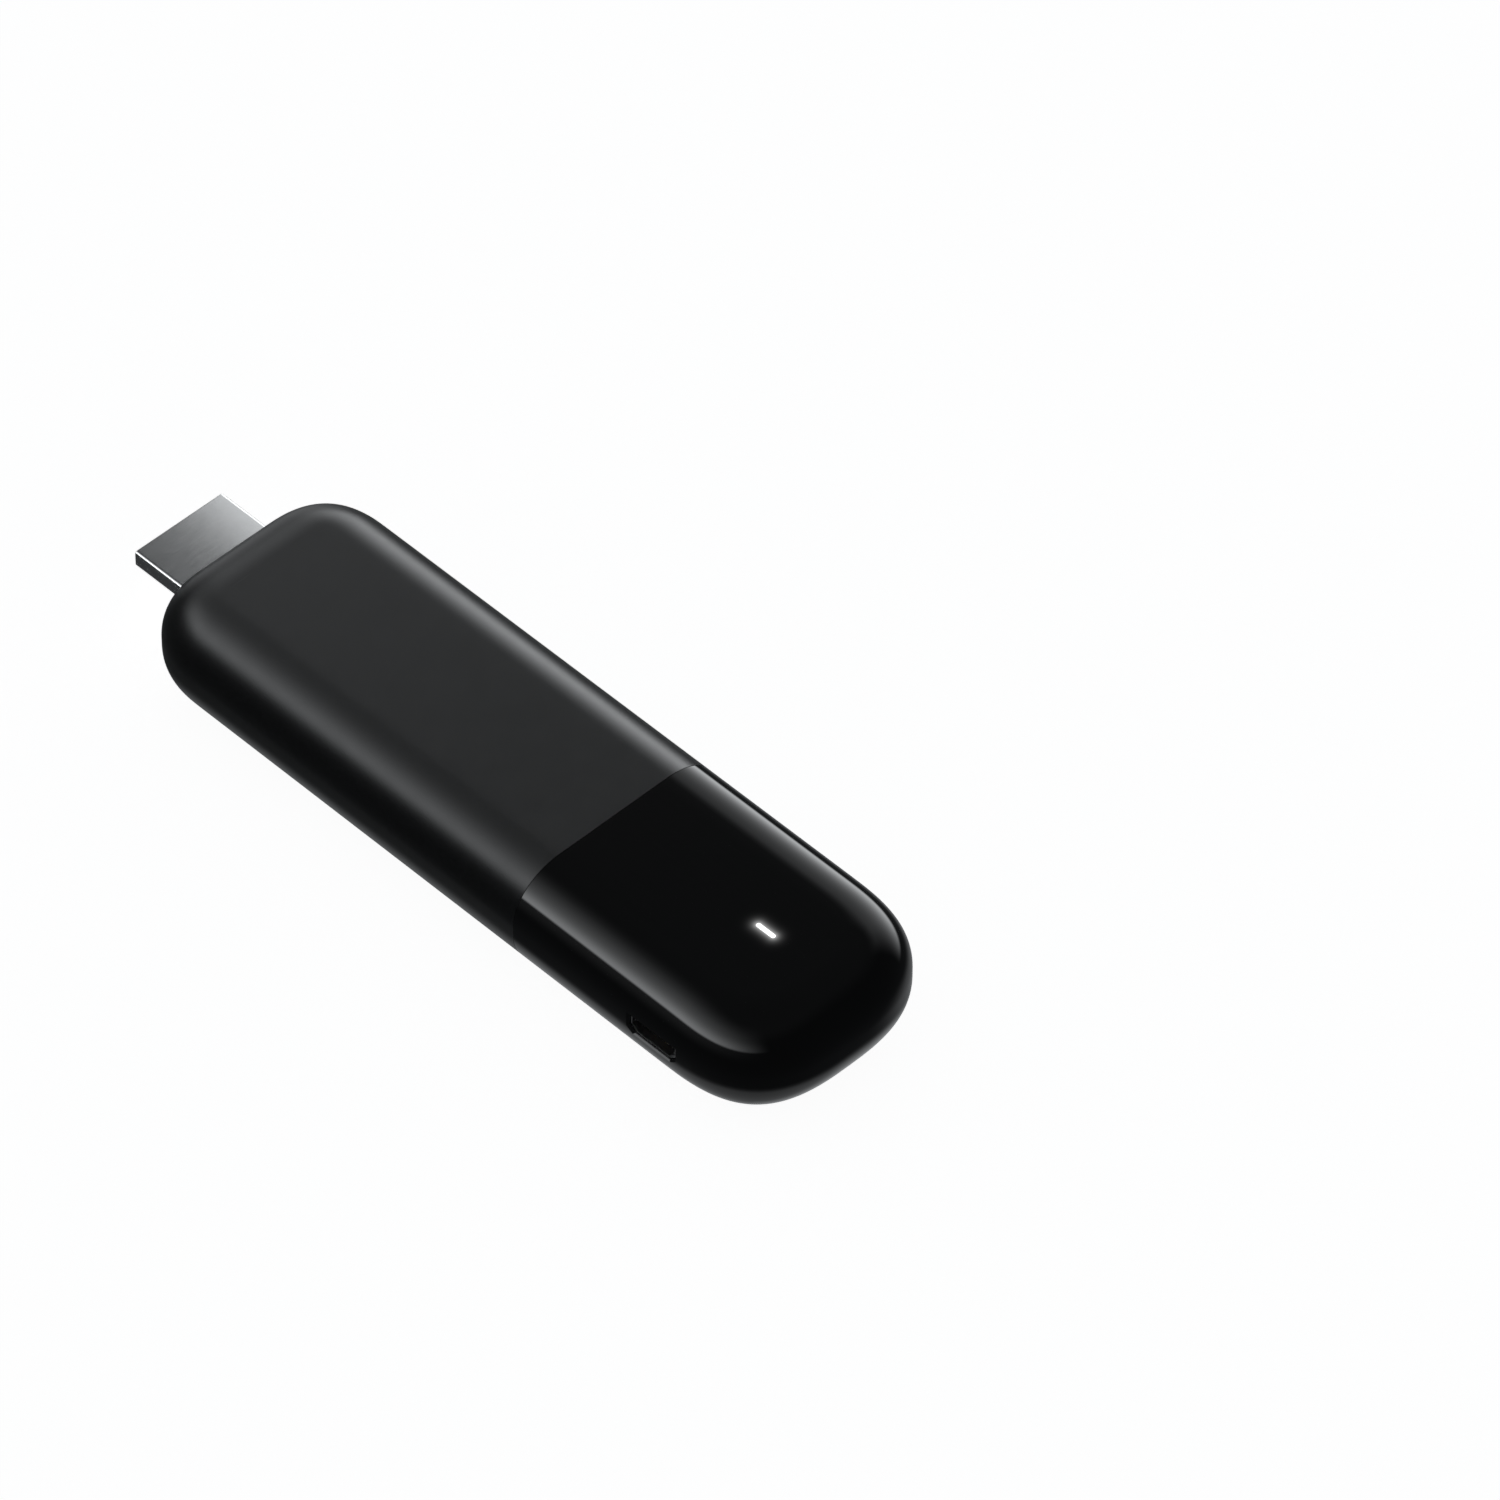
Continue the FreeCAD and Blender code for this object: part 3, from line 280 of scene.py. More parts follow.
def seam_loop(bm, loop, x, depth):
    """A copy of the seam's loop of points at another X, shifted inwards by depth."""
    profile = edge_profile()
    levels = len(profile)
    copies = []
    for i, vertex in enumerate(loop):
        if i < levels:
            _, _, out, up = profile[i]
            normal = Vector((0, out, up))
        elif i < levels + ACROSS_STEPS - 1:
            normal = Vector((0, 0, -1))
        elif i < 2 * levels + ACROSS_STEPS - 1:
            _, _, out, up = profile[2 * levels + ACROSS_STEPS - 2 - i]
            normal = Vector((0, -out, up))
        else:
            normal = Vector((0, 0, 1))
        point = vertex.co - normal * depth
        copies.append(bm.verts.new((x, point.y, point.z)))
    return copies


def shell_mesh(name, direction, steps):
    """A closed thin shell; steps are the (x, depth) stages from the outer to the inner skin."""
    bm = bmesh.new()
    outer = add_skin(bm, direction, 0.0, flip=direction < 0)
    inner = add_skin(bm, direction, WALL, flip=direction > 0)
    loops = [outer] + [seam_loop(bm, outer, x, depth) for x, depth in steps] + [inner]
    add_rows(bm, loops, wrap=True, flip=direction > 0)
    bmesh.ops.recalc_face_normals(bm, faces=bm.faces)
    mesh = bpy.data.meshes.new(name)
    bm.to_mesh(mesh)
    bm.free()
    mesh.shade_smooth()
    mesh.set_sharp_from_angle(angle=radians(SHARP_ANGLE))
    return mesh


def loft(name, outlines):
    """A closed solid through two or more outlines of equally many points."""
    bm = bmesh.new()
    rings = [[bm.verts.new(point) for point in outline] for outline in outlines]
    add_rows(bm, rings, wrap=True)
    bm.faces.new(rings[0])
    bm.faces.new(rings[-1])
    bmesh.ops.recalc_face_normals(bm, faces=bm.faces)
    mesh = bpy.data.meshes.new(name)
    bm.to_mesh(mesh)
    bm.free()
    return new_object(name, mesh)


def prism(name, corners, direction):
    """A closed prism: an outline pushed along a direction."""
    return loft(name, [corners, [corner + direction for corner in corners]])


def new_object(name, data):
    """An object in the scene with the given data."""
    thing = bpy.data.objects.new(name, data)
    bpy.context.scene.collection.objects.link(thing)
    return thing


def plug_corners(x):
    """Corners of the plug's section with clearance, at a given X."""
    grow = PLUG_CLEARANCE
    half = plug_high.y + grow
    top = plug_high.z + grow
    bottom = plug_low.z - grow
    side_end = plug_high.z - PLUG_SIDE - grow
    right = [
        (half - PLUG_LEDGE - PLUG_SLOPE, bottom), (half - PLUG_LEDGE, side_end - PLUG_LEDGE_DROP),
        (half, side_end), (half, top),
    ]
    left = [(-y, z) for y, z in reversed(right)]
    return [Vector((x, y, z)) for y, z in right + left]


def socket_corners(y, grow):
    """Corners of the power socket's outline grown on every side, at a given Y."""
    half = SOCKET_WIDTH / 2 + grow
    top = SOCKET_Z + SOCKET_HEIGHT / 2 + grow
    bottom = SOCKET_Z - SOCKET_HEIGHT / 2 - grow
    right = [(half - SOCKET_BEVEL_ACROSS, bottom), (half, bottom + SOCKET_BEVEL_UP), (half, top)]
    left = [(-x, z) for x, z in reversed(right)]
    return [Vector((SOCKET_X + x, y, z)) for x, z in right + left]


def light_corners(z):
    """Rounded slot of the status light, at a given height."""
    radius = LIGHT_WIDTH / 2
    reach = LIGHT_LENGTH / 2 - radius
    corners = []
    for side in (1, -1):
        for i in range(LIGHT_END_STEPS + 1):
            angle = -pi / 2 + pi * i / LIGHT_END_STEPS
            corners.append(Vector((
                LIGHT_X + side * (reach + radius * cos(angle)), side * radius * sin(angle), z,
            )))
    return corners


def box_corners(x_range, y_range, z):
    """Four corners of a level rectangle."""
    return [
        Vector((x_range[0], y_range[0], z)), Vector((x_range[1], y_range[0], z)),
        Vector((x_range[1], y_range[1], z)), Vector((x_range[0], y_range[1], z)),
    ]


def cut(piece, cutters, uncut):
    """Subtract the cutters, then give the untouched surface the uncut mesh's normals."""
    for cutter in cutters:
        modifier = piece.modifiers.new(cutter.name, "BOOLEAN")
        modifier.operation = "DIFFERENCE"
        modifier.solver = "EXACT"
        modifier.object = cutter
    view = bpy.context.evaluated_depsgraph_get()
    mesh = bpy.data.meshes.new_from_object(piece.evaluated_get(view))
    piece.modifiers.clear()
    piece.data = mesh
    for cutter in cutters:
        bpy.data.objects.remove(cutter)
    copy_normals(mesh, uncut)


def copy_normals(mesh, source):
    """Corner normals of the kept faces, read from the source's own smooth surface."""
    tree = BVHTree.FromPolygons(
        [v.co for v in source.vertices], [tuple(p.vertices) for p in source.polygons]
    )
    smooth = [n.vector.copy() for n in source.corner_normals]
    normals = [n.vector.copy() for n in mesh.corner_normals]
    for face in mesh.polygons:
        for i in face.loop_indices:
            corner = mesh.vertices[mesh.loops[i].vertex_index].co
            inside = corner.lerp(face.center, INTO_FACE)
            _, _, index, _ = tree.find_nearest(inside)
            near = source.polygons[index]
            if near.normal.dot(face.normal) < SAME_SURFACE:
                continue
            weights = poly_3d_calc([source.vertices[v].co for v in near.vertices], corner)
            total = Vector((0, 0, 0))
            for weight, loop in zip(weights, near.loop_indices):
                total += smooth[loop] * weight
            normals[i] = total.normalized()
    mesh.normals_split_custom_set(normals)


# ---- Housing pieces ------------------------------------------------------------------------
def make_sleeve():
    """Matte sleeve with the plug's slot."""
    steps = [(SEAM_X, PARTING_EDGE), (SEAM_X, WALL)]
    uncut = shell_mesh("sleeve_skin", -1, steps)
    piece = new_object("sleeve", uncut.copy())
    slot = prism("slot", plug_corners(plug_low.x), Vector((plug_high.x - plug_low.x, 0, 0)))
    cut(piece, [slot], uncut)
    return piece


def make_cap():
    """Glossy cap with its spigot, light slot and socket window."""
    spigot = WALL + SPIGOT_GAP
    steps = [
        (SEAM_X, PARTING_EDGE),
        (SEAM_X, spigot),
        (SEAM_X - SPIGOT_LENGTH + SPIGOT_CHAMFER, spigot),
        (SEAM_X - SPIGOT_LENGTH, spigot + SPIGOT_CHAMFER),
        (SEAM_X - SPIGOT_LENGTH, spigot + SPIGOT_WALL),
        (SEAM_X + SPIGOT_ROOT, spigot + SPIGOT_WALL),
        (SEAM_X + SPIGOT_ROOT, WALL),
    ]
    uncut = shell_mesh("cap_skin", 1, steps)
    piece = new_object("cap", uncut.copy())
    light_slot = prism("light_slot", light_corners(MID_Z), Vector((0, 0, BODY_HEIGHT)))
    window = loft("window", [
        socket_corners(y, SOCKET_WINDOW_GAP) for y in (-2 * HALF_WIDTH, -HALF_WIDTH + WINDOW_DEPTH)
    ])
    lead_in = loft("lead_in", [
        socket_corners(y, SOCKET_WINDOW_GAP + grow)
        for y, grow in (
            (SOCKET_LEAD_IN - HALF_WIDTH, 0.0), (-HALF_WIDTH - SOCKET_LEAD_IN, 2 * SOCKET_LEAD_IN),
        )
    ])
    cut(piece, [light_slot, window, lead_in], uncut)
    return piece


# ---- Node trees ----------------------------------------------------------------------------
class Nodes:
    """Shorthand for adding nodes to a tree and linking them."""

    def __init__(self, tree):
        self.tree = tree

    def node(self, kind, **settings):
        """A new node with its properties set."""
        node = self.tree.nodes.new(kind)
        for key, value in settings.items():
            setattr(node, key, value)
        return node

    def link(self, source, target):
        self.tree.links.new(source, target)

    def math(self, operation, first, second=0.0):
        """Result of a Math node on numbers or sockets."""
        node = self.node("ShaderNodeMath", operation=operation)
        for socket, value in zip(node.inputs, (first, second)):
            if isinstance(value, (int, float)):
                socket.default_value = value
            else:
                self.link(value, socket)
        return node.outputs[0]

    def product(self, *factors):
        """All the factors multiplied together."""
        total = factors[0]
        for factor in factors[1:]:
            total = self.math("MULTIPLY", total, factor)
        return total

    def step(self, value, start, full):
        """Smooth rise from 0 at start to 1 at full."""
        node = self.node("ShaderNodeMapRange", interpolation_type="SMOOTHSTEP")
        node.inputs["From Min"].default_value = start
        node.inputs["From Max"].default_value = full
        self.link(value, node.inputs["Value"])
        return node.outputs["Result"]

    def axes(self, vector):
        """The X, Y and Z outputs of a vector."""
        split = self.node("ShaderNodeSeparateXYZ")
        self.link(vector, split.inputs[0])
        return split.outputs

    def uv_axes(self):
        """The X, Y and Z outputs of the UV coordinates."""
        return self.axes(self.node("ShaderNodeTexCoord").outputs["UV"])


# ---- Materials -----------------------------------------------------------------------------
class Surface(Nodes):
    """A Principled material with textures in millimetres on the object's own coordinates."""

    def __init__(self, name, colour, roughness, metallic=0.0):
        self.material = bpy.data.materials.new(name)
        self.material.use_nodes = True
        super().__init__(self.material.node_tree)
        self.shader = self.tree.nodes["Principled BSDF"]
        self.shader.inputs["Base Color"].default_value = (*colour, 1)
        self.shader.inputs["Roughness"].default_value = roughness
        self.shader.inputs["Metallic"].default_value = metallic
        self.coordinates = self.node("ShaderNodeTexCoord").outputs["Object"]

    def position(self, scale):
        """Object coordinates times scale per millimetre, one number or one per axis."""
        scales = scale if isinstance(scale, tuple) else (scale,) * 3
        mapping = self.node("ShaderNodeMapping")
        mapping.inputs["Scale"].default_value = [s / MM for s in scales]
        self.link(self.coordinates, mapping.inputs["Vector"])
        return mapping.outputs["Vector"]

    def noise(self, scale, detail=3.0, roughness=0.5):
        """Noise value; scale is its features per millimetre."""
        node = self.node("ShaderNodeTexNoise")
        node.inputs["Scale"].default_value = 1.0
        node.inputs["Detail"].default_value = detail
        node.inputs["Roughness"].default_value = roughness
        self.link(self.position(scale), node.inputs["Vector"])
        return node.outputs["Fac"]

    def spread(self, value, low, high, start=0.3, end=0.7):
        """Map a value from start..end to low..high."""
        node = self.node("ShaderNodeMapRange")
        node.inputs["From Min"].default_value = start
        node.inputs["From Max"].default_value = end
        node.inputs["To Min"].default_value = low
        node.inputs["To Max"].default_value = high
        self.link(value, node.inputs["Value"])
        return node.outputs["Result"]

    def mix(self, factor, first, second):
        """Colour between two colours or colour sockets."""
        node = self.node("ShaderNodeMix", data_type="RGBA")
        self.link(factor, node.inputs["Factor"])
        for socket, colour in ((node.inputs["A"], first), (node.inputs["B"], second)):
            if isinstance(colour, tuple):
                socket.default_value = (*colour, 1)
            else:
                self.link(colour, socket)
        return node.outputs["Result"]

    def paint(self, colour):
        """Colour the surface from a socket."""
        self.link(colour, self.shader.inputs["Base Color"])

    def rough(self, value):
        """Roughness of the surface from a socket."""
        self.link(value, self.shader.inputs["Roughness"])

    def bump(self, height, depth):
        """Raise the surface by height times depth millimetres."""
        node = self.node("ShaderNodeBump")
        node.inputs["Strength"].default_value = 1.0
        node.inputs["Distance"].default_value = depth * MM
        self.link(height, node.inputs["Height"])
        self.link(node.outputs["Normal"], self.shader.inputs["Normal"])

    def painted_edge_highlight(self, colour):
        """Painted edge highlight: lighter colour where the surface is sharply convex; call it after
        paint.
        """
        geometry = self.node("ShaderNodeNewGeometry")
        edge = self.spread(geometry.outputs["Pointiness"], 0.0, EDGE_HIGHLIGHT_SHARE, *EDGE_HIGHLIGHT_POINTINESS)
        base = self.shader.inputs["Base Color"].links[0].from_socket
        self.paint(self.mix(edge, base, colour))

    def clear_from_behind(self):
        """Let the surface be seen from its front only."""
        side = self.node("ShaderNodeNewGeometry").outputs["Backfacing"]
        clear = self.node("ShaderNodeBsdfTransparent")
        choice = self.node("ShaderNodeMixShader")
        self.link(side, choice.inputs[0])
        self.link(self.shader.outputs[0], choice.inputs[1])
        self.link(clear.outputs[0], choice.inputs[2])
        self.link(choice.outputs[0], self.tree.nodes["Material Output"].inputs["Surface"])


def scaled(colour, factor):
    """A lighter or darker version of a colour."""
    return tuple(min(1.0, c * factor) for c in colour)


def mottled(name, colour, roughness, metallic=0.0, grain=2.0, shade=0.15, bump=0.004):
    """Plain moulded or pressed surface: slight mottling in colour, gloss and height."""
    surface = Surface(name, colour, roughness, metallic)
    noise = surface.noise(grain)
    surface.paint(surface.mix(
        surface.spread(noise, 0, 1), scaled(colour, 1 - shade), scaled(colour, 1 + shade)
    ))
    surface.rough(surface.spread(
        surface.noise(grain / 3), roughness * (1 - GLOSS_SPREAD), roughness * (1 + GLOSS_SPREAD)
    ))
    surface.bump(noise, bump)
    return surface


def matte_charcoal():
    """Fine spark-eroded texture on charcoal plastic."""
    colour = (0.0085, 0.0088, 0.0094)
    surface = Surface("matte_charcoal", colour, 0.32)
    cloudy = surface.noise(0.12, detail=2.0)
    surface.paint(surface.mix(
        surface.spread(cloudy, 0, 1), scaled(colour, 0.96), scaled(colour, 1.04)
    ))
    surface.rough(surface.spread(surface.noise(0.5), 0.31, 0.33))
    surface.bump(surface.noise(9.0, detail=4.0, roughness=0.6), 0.004)
    # painted highlight: the sleeve's sharp edges are made lighter in colour
    surface.painted_edge_highlight((0.03, 0.03, 0.031))
    return surface.material


def piano_black():
    """Polished black plastic with faint flow marks, and a painted glow where the status light would
    bleed through its skin.
    """
    surface = Surface("piano_black", (0.0035, 0.0036, 0.004), 0.05)
    streaks = surface.noise((0.05, 1.4, 1.4), detail=4.0, roughness=0.7)
    surface.rough(surface.spread(streaks, 0.04, 0.075))
    surface.paint(surface.mix(
        surface.spread(surface.noise(0.3), 0, 1), (0.0032, 0.0033, 0.0037), (0.004, 0.0041, 0.0045)
    ))
    # painted glow: the cap's own surface emits light round the status light's slot
    surface.shader.inputs["Emission Color"].default_value = (1.0, 1.0, 1.0, 1)
    surface.link(painted_slot_glow(surface), surface.shader.inputs["Emission Strength"])
    return surface.material


def painted_slot_glow(surface):
    """Painted glow on the cap's skin that fades with the distance from the light's slot."""
    x, y, z = surface.axes(surface.coordinates)
    radius = LIGHT_WIDTH / 2
    along = surface.math("SUBTRACT", x, LIGHT_X)
    along = surface.math("SUBTRACT", surface.math("ABSOLUTE", along), LIGHT_LENGTH / 2 - radius)
    along = surface.math("MAXIMUM", along, 0.0)
    square = surface.math(
        "ADD", surface.math("POWER", along, 2.0), surface.math("POWER", y, 2.0)
    )
    gap = surface.math("SUBTRACT", surface.math("SQRT", square), radius)
    fade = surface.math("EXPONENT", surface.math("DIVIDE", gap, -PAINTED_GLOW_REACH))
    front = surface.math("GREATER_THAN", z, BODY_HEIGHT - WALL / 2)
    return surface.product(fade, front, PAINTED_GLOW_STRENGTH)


def plated_metal(name, colour=(0.60, 0.60, 0.60), roughness=0.20, along="y"):
    """Nickel or tin plate over rolled sheet, with the sheet's fine grain."""
    surface = Surface(name, colour, roughness, metallic=1.0)
    scale = (6.0, 0.4, 6.0) if along == "y" else (0.4, 6.0, 6.0)
    grain = surface.noise(scale, detail=3.0, roughness=0.6)
    surface.rough(surface.spread(grain, roughness - 0.02, roughness + 0.02))
    surface.paint(surface.mix(
        surface.spread(surface.noise(0.8), 0, 1), scaled(colour, 0.97), scaled(colour, 1.03)
    ))
    surface.bump(grain, 0.0003)
    # painted highlight: the plate's sharp edges are made lighter in colour
    surface.painted_edge_highlight((0.80, 0.80, 0.79))
    return surface.material


def lit_window():
    """Frosted light guide, glowing white."""
    surface = Surface("lit_window", (0.95, 0.96, 0.97), 0.35)
    glow = surface.noise(3.0)
    surface.paint(surface.mix(surface.spread(glow, 0, 1), (0.93, 0.95, 0.97), (1.0, 1.0, 1.0)))
    surface.shader.inputs["Emission Color"].default_value = (1.0, 1.0, 1.0, 1)
    surface.shader.inputs["Emission Strength"].default_value = LIGHT_STRENGTH
    surface.bump(glow, 0.002)
    return surface.material


def circuit_board():
    """Green solder mask over copper tracks."""
    surface = Surface("solder_mask", (0.01, 0.10, 0.045), 0.38)
    cells = surface.node("ShaderNodeTexBrick", offset=0.37, squash=0.6)
    cells.inputs["Scale"].default_value = 1.0
    cells.inputs["Mortar Size"].default_value = 0.05
    cells.inputs["Brick Width"].default_value = 2.6
    cells.inputs["Row Height"].default_value = 0.55
    surface.link(surface.position(1.0), cells.inputs["Vector"])
    surface.paint(surface.mix(cells.outputs["Fac"], (0.008, 0.085, 0.038), (0.016, 0.145, 0.065)))
    surface.bump(cells.outputs["Fac"], 0.02)
    surface.rough(surface.spread(surface.noise(1.5), 0.33, 0.43))
    return surface.material


def foam():
    """Closed-cell foam."""
    surface = Surface("foam", (0.03, 0.03, 0.03), 0.9)
    cells = surface.node("ShaderNodeTexVoronoi")
    surface.link(surface.position(4.0), cells.inputs["Vector"])
    surface.paint(surface.mix(cells.outputs["Distance"], (0.02, 0.02, 0.02), (0.05, 0.05, 0.05)))
    surface.bump(cells.outputs["Distance"], 0.05)
    return surface.material


def dress(material, *nodes):
    """Give CAD nodes a material."""
    for node in nodes:
        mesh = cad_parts[node].data
        mesh.materials.clear()
        mesh.materials.append(material)


def dress_nodes():
    """Materials of every CAD node that stays visible, with their colours and roughness."""
    dress(plated_metal("plug_nickel"), "video_plug_shell")
    dress(plated_metal("socket_steel", (0.30, 0.30, 0.30), 0.33, "x"), "power_socket_shell")
    dress(plated_metal("tin_plate", (0.56, 0.56, 0.55), 0.34, "x"),
          "front_shield_frame", "front_shield_lid", "rear_shield_can", "radio_shield_can",
          "clock_crystal", "left_aerial", "right_aerial")
    dress(mottled("gold_plate", (0.83, 0.61, 0.27), 0.24, 1.0, 5.0, 0.06, 0.001).material,
          "video_plug_contacts", "power_socket_contacts")
    dress(mottled("black_insulator", (0.012, 0.012, 0.013), 0.45, grain=3.0).material,
          "video_plug_insulator")
    dress(mottled("tongue_plastic", (0.09, 0.092, 0.096), 0.4, grain=3.0).material,
          "power_socket_tongue")
    dress(mottled("inner_plastic", (0.05, 0.05, 0.055), 0.5, grain=1.0).material, "board_frame")
    dress(mottled("epoxy_package", (0.018, 0.018, 0.02), 0.55, grain=5.0).material,
          "processor", "memory_chips", "flash_memory", "power_chip", "radio_chip")
    dress(mottled("ferrite", (0.07, 0.07, 0.075), 0.6, grain=4.0).material, "power_inductors")
    dress(mottled("capacitor_ceramic", (0.42, 0.30, 0.18), 0.5, grain=6.0).material,
          "chip_capacitors")
    dress(mottled("resistor_ceramic", (0.03, 0.03, 0.03), 0.4, grain=6.0).material,
          "chip_resistors")
    dress(mottled("thermal_silicone", (0.36, 0.42, 0.50), 0.8, grain=1.5).material,
          "processor_thermal_pad", "front_thermal_pad", "rear_thermal_pad")
    dress(plated_metal("spreader_aluminium", (0.68, 0.68, 0.69), 0.36, "x"),
          "front_heat_spreader", "rear_heat_spreader")
    dress(mottled("lamp_resin", (0.9, 0.88, 0.7), 0.3, grain=4.0).material, "status_led")
    dress(circuit_board(), "main_board")
    dress(foam(), "indicator_light_seal")
    dress(lit_window(), "indicator_light_pipe")


# ---- Studio --------------------------------------------------------------------------------
class Bank:
    """A soft bank of light on the dome, placed by azimuth and elevation in degrees.

    edge is the elevation where it starts and the one where it is full; from there it falls off
    over fade degrees, and stop is where it has ended and where it begins to end. right and left
    are the azimuths where each side starts and is full; without them it goes all the way round.
    """

    def __init__(self, strength, edge, fade, stop, right=(-200, -190), left=(200, 190)):
        self.strength = strength
        self.edge = edge
        self.fade = fade
        self.stop = stop
        self.right = right
        self.left = left


def glow_material(name):
    """A glow that other light passes through; returns the material and its emission node."""
    material = bpy.data.materials.new(name)
    material.use_nodes = True
    material.cycles.emission_sampling = "NONE"
    nodes = Nodes(material.node_tree)
    nodes.tree.nodes.clear()
    emission = nodes.node("ShaderNodeEmission")
    emission.inputs["Color"].default_value = LIGHT_TINT
    clear = nodes.node("ShaderNodeBsdfTransparent")
    both = nodes.node("ShaderNodeAddShader")
    output = nodes.node("ShaderNodeOutputMaterial")
    nodes.link(emission.outputs[0], both.inputs[0])
    nodes.link(clear.outputs[0], both.inputs[1])
    nodes.link(both.outputs[0], output.inputs["Surface"])
    return material, emission


def dome_glow(name, banks):
    """Emission of a dome: the sum of its banks, read from the UV map's degrees."""
    material, emission = glow_material(name)
    nodes = Nodes(material.node_tree)
    azimuth, elevation, _ = nodes.uv_axes()
    total = 0.0
    for bank in banks:
        above = nodes.math("ABSOLUTE", nodes.math("SUBTRACT", elevation, bank.edge[1]))
        square = nodes.math("POWER", nodes.math("DIVIDE", above, bank.fade), 2.0)
        fall = nodes.math("DIVIDE", bank.strength, nodes.math("ADD", square, 1.0))
        shape = nodes.product(
            fall, nodes.step(elevation, *bank.edge), nodes.step(elevation, *bank.stop),
            nodes.step(azimuth, *bank.right), nodes.step(azimuth, *bank.left),
        )
        total = nodes.math("ADD", shape, total)
    nodes.link(total, emission.inputs["Strength"])
    return material


def make_dome(name, radius, banks, receivers):
    """A light dome all round the object, which lights only its receivers."""
    vertices, places = [], []
    for elevation in range(-90, 91, DOME_STEP):
        for azimuth in range(-180, 181, DOME_STEP):
            up, round_z = radians(elevation), radians(azimuth)
            direction = Vector((cos(up) * cos(round_z), cos(up) * sin(round_z), sin(up)))
            vertices.append(BODY_CENTRE + direction * radius)
            places.append((azimuth, elevation))
    row = 360 // DOME_STEP + 1
    faces = [
        (i, i + 1, i + 1 + row, i + row)
        for i in range(len(vertices) - row) if (i + 1) % row
    ]
    mesh = bpy.data.meshes.new(name)
    mesh.from_pydata(vertices, [], faces)
    layer = mesh.uv_layers.new(name="UVMap")
    for loop, place in zip(mesh.loops, layer.data):
        place.uv = places[loop.vertex_index]
    mesh.materials.append(dome_glow(name, banks))
    return light_only(new_object(name, mesh), receivers)


def light_only(panel, receivers):
    """Hide a light's surface from the camera and link it to the things it lights."""
    group = bpy.data.collections.new(panel.name)
    for thing in receivers:
        group.objects.link(thing)
    panel.light_linking.receiver_collection = group
    panel.visible_camera = False
    panel.visible_diffuse = False
    panel.visible_shadow = False
    return panel


def make_floor():
    """Plain pale floor; it glows, so that it stays pale under the dark studio."""
    half = FLOOR_SIZE / 2
    mesh = bpy.data.meshes.new("floor")
    mesh.from_pydata(box_corners((-half, half), (-half, half), -FLOOR_GAP), [], [(0, 1, 2, 3)])
    floor = new_object("floor", mesh)
    surface = mottled("floor_paint", (0.86, 0.86, 0.86), 0.8, grain=0.02, shade=0.004, bump=0.0)
    surface.shader.inputs["Emission Color"].default_value = (1, 1, 1, 1)
    surface.shader.inputs["Emission Strength"].default_value = FLOOR_GLOW
    surface.clear_from_behind()
    mesh.materials.append(surface.material)
    floor.visible_glossy = False
    floor.visible_diffuse = False
    floor.visible_shadow = False
    return floor


def make_world():
    """Dim even studio for the object, pale where the camera sees past the floor."""
    world = bpy.data.worlds.new("studio")
    bpy.context.scene.world = world
    world.use_nodes = True
    tree = world.node_tree
    tree.nodes.clear()
    dim = tree.nodes.new("ShaderNodeBackground")
    dim.inputs["Color"].default_value = ROOM_TINT
    dim.inputs["Strength"].default_value = ROOM_GLOW
    pale = tree.nodes.new("ShaderNodeBackground")
    pale.inputs["Color"].default_value = BACKDROP
    path = tree.nodes.new("ShaderNodeLightPath")
    mix = tree.nodes.new("ShaderNodeMixShader")
    output = tree.nodes.new("ShaderNodeOutputWorld")
    tree.links.new(path.outputs["Is Camera Ray"], mix.inputs["Fac"])
    tree.links.new(dim.outputs[0], mix.inputs[1])
    tree.links.new(pale.outputs[0], mix.inputs[2])
    tree.links.new(mix.outputs[0], output.inputs["Surface"])


def level_panel(name, x_range, y_range, height, strength, along, rise, receivers):
    """Level light panel, which gets brighter along X or Y between the two parts in rise."""
    mesh = bpy.data.meshes.new(name)
    mesh.from_pydata(box_corners(x_range, y_range, height), [], [(0, 1, 2, 3)])
    layer = mesh.uv_layers.new(name="UVMap")
    for place, corner in zip(layer.data, ((0, 0), (1, 0), (1, 1), (0, 1))):
        place.uv = corner
    material, emission = glow_material(name)
    nodes = Nodes(material.node_tree)
    growth = nodes.step(nodes.uv_axes()[along], *rise)
    nodes.link(nodes.math("MULTIPLY", growth, strength), emission.inputs["Strength"])
    mesh.materials.append(material)
    return light_only(new_object(name, mesh), receivers)


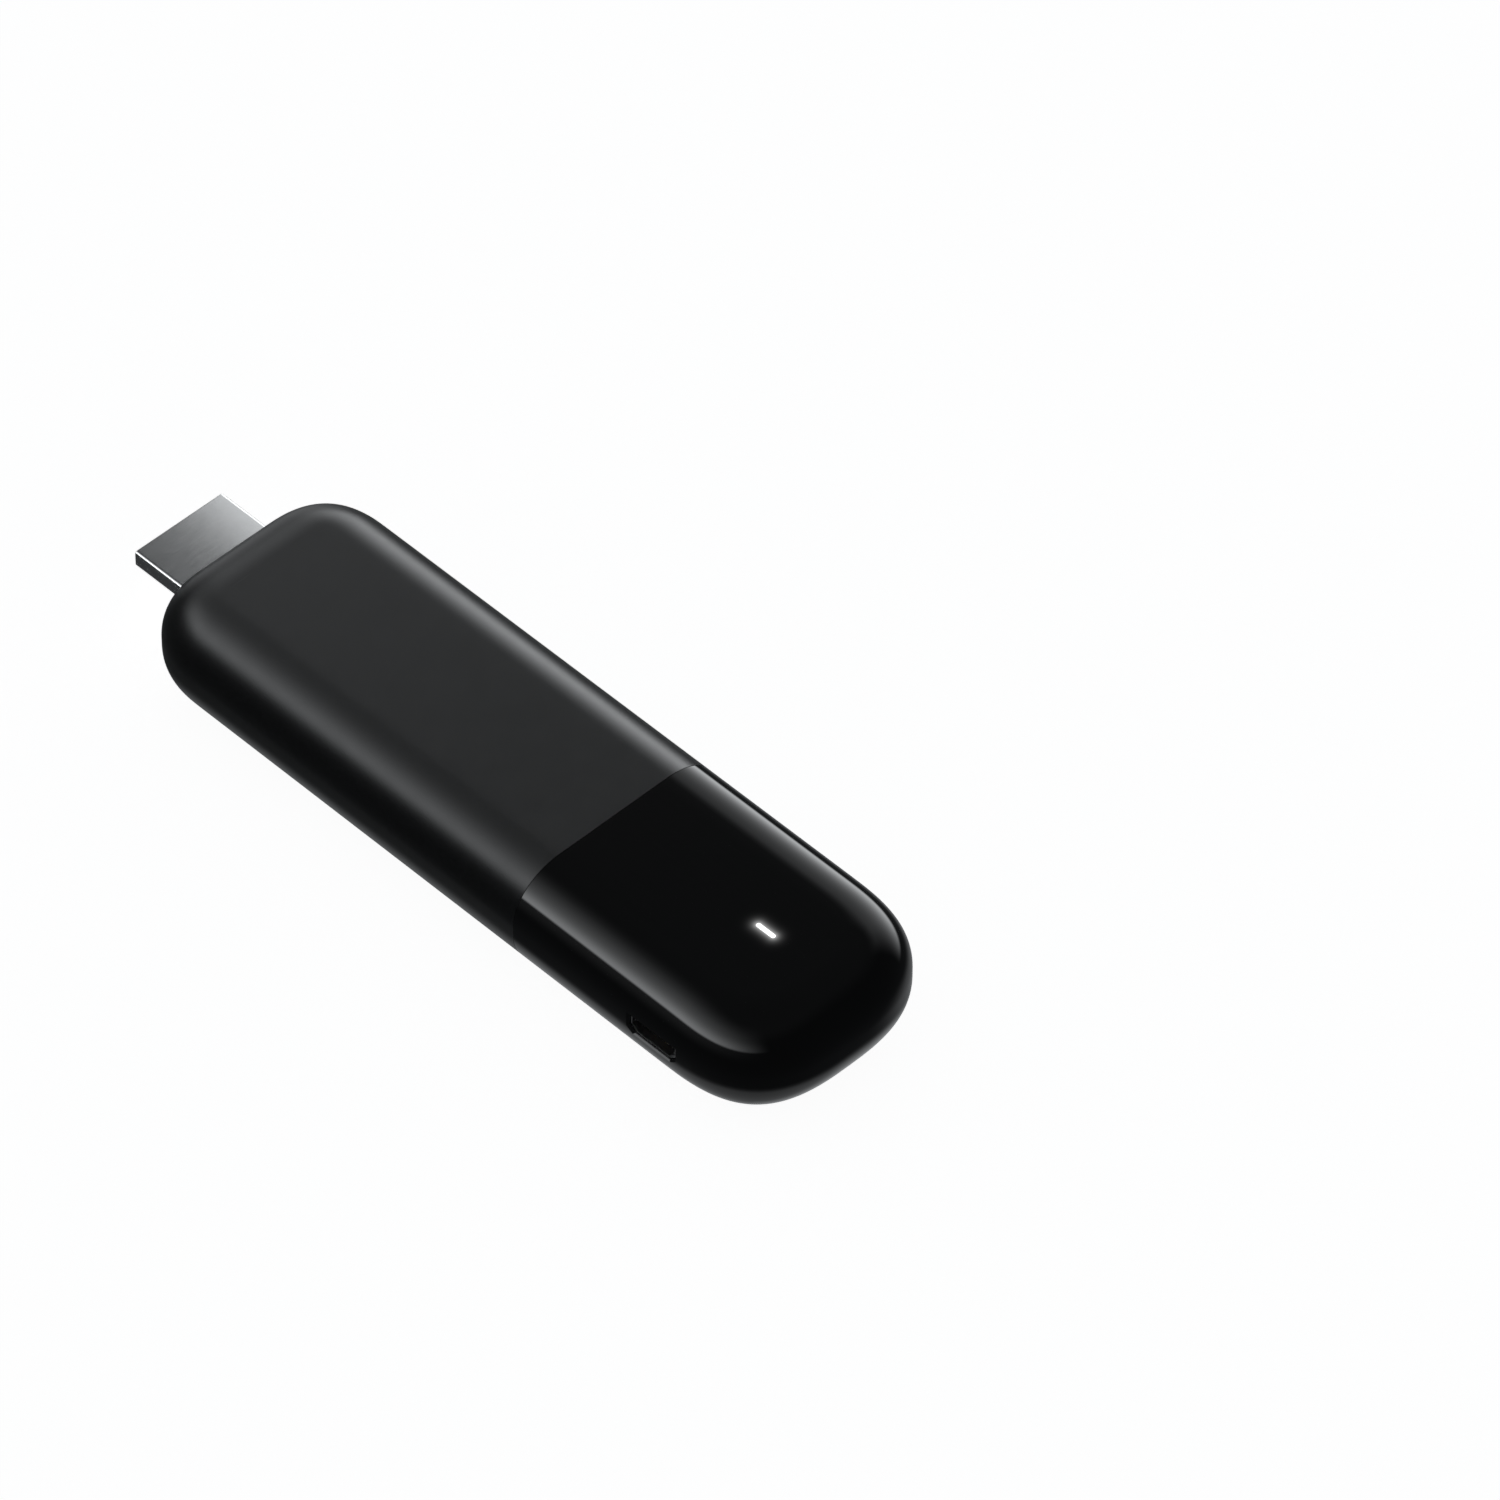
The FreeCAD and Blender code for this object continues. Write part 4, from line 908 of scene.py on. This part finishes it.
def make_lights(sleeve, cap, inner):
    """Soft banks on both sides with a faint glow above and below, and two panels at the plug."""
    below = Bank(0.33, edge=(-47, -60), fade=60, stop=BOTTOM)
    overhead = Bank(0.42, edge=(47, 62), fade=90, stop=TOP)
    faint_overhead = Bank(0.035, edge=(30, 55), fade=90, stop=TOP)
    skirt = Bank(0.16, edge=(-12, 14), fade=30, stop=(22, 14), right=(-25, -130), left=(-180, -135))
    behind_below = Bank(0.22, edge=(-18, -36), fade=40, stop=BOTTOM, right=(40, 80), left=(150, 110))
    polished = [
        Bank(3.1, edge=(-9, -2), fade=17, stop=(49, 37), right=(64, 106), left=(147, 130)),
        Bank(3.9, edge=(13, 18), fade=13.5, stop=(70, 42), right=(-25, -130), left=(-180, -135)),
        faint_overhead, skirt, below, behind_below,
    ]
    matte = [
        Bank(5.4, edge=(0, 14), fade=14, stop=(46, 29), right=(64, 106), left=(158, 112)),
        Bank(3.0, edge=(22, 36), fade=14, stop=(80, 50), right=(-25, -130), left=(-190, -135)),
        Bank(0.62, edge=(-30, -8), fade=60, stop=(22, 2), right=(126, 148), left=(178, 150)),
        overhead, below, behind_below,
    ]
    make_dome("sleeve_dome", SLEEVE_DOME_RADIUS, matte, [sleeve])
    make_dome("polished_dome", POLISHED_DOME_RADIUS, polished, [cap] + inner)
    level_panel(
        "plug_panel", (plug_low.x - PLUG_PANEL_REACH, plug_high.x), PLUG_PANEL_Y,
        plug_high.z + PLUG_PANEL_RISE, strength=1.25, along="Y", rise=(0.10, 0.25),
        receivers=[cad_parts["video_plug_shell"]],
    )
    level_panel(
        "shoulder_panel", SHOULDER_PANEL_X, SHOULDER_PANEL_Y, SHOULDER_PANEL_Z,
        strength=0.55, along="X", rise=(1.0, 0.72), receivers=[sleeve],
    )


def make_camera():
    """Camera above the socket's side and the cap, aimed to the object's right."""
    azimuth, elevation, roll = map(radians, (CAMERA_AZIMUTH, CAMERA_ELEVATION, CAMERA_ROLL))
    back = Vector((
        sin(azimuth) * cos(elevation), -cos(azimuth) * cos(elevation), sin(elevation)
    ))
    right = Vector((cos(azimuth), sin(azimuth), 0))
    up = back.cross(right)
    right, up = right * cos(roll) + up * sin(roll), up * cos(roll) - right * sin(roll)
    place = BODY_CENTRE + right * AIM_RIGHT + up * AIM_UP + back * CAMERA_DISTANCE
    data = bpy.data.cameras.new("camera")
    data.sensor_width = SENSOR
    data.lens = SENSOR * CAMERA_DISTANCE / VIEW_WIDTH
    data.clip_start, data.clip_end = CAMERA_CLIP
    camera = new_object("camera", data)
    rotation = Matrix((right, up, back)).transposed().to_4x4()
    camera.matrix_world = Matrix.Translation(place) @ rotation
    bpy.context.scene.camera = camera


# ---- Assembly ------------------------------------------------------------------------------
make_camera()
make_world()
sleeve = make_sleeve()
cap = make_cap()
for piece, node, slot, material in (
    (sleeve, "main_sleeve", "matte_shell", matte_charcoal()),
    (cap, "end_cap", "gloss_shell", piano_black()),
):
    piece.data.materials.clear()
    piece.data.materials.append(material)
    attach(piece, "root")
    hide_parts(node)
dress_nodes()
make_floor()
make_lights(sleeve, cap, list(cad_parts.values()))
bpy.context.scene.view_settings.view_transform = "Standard"
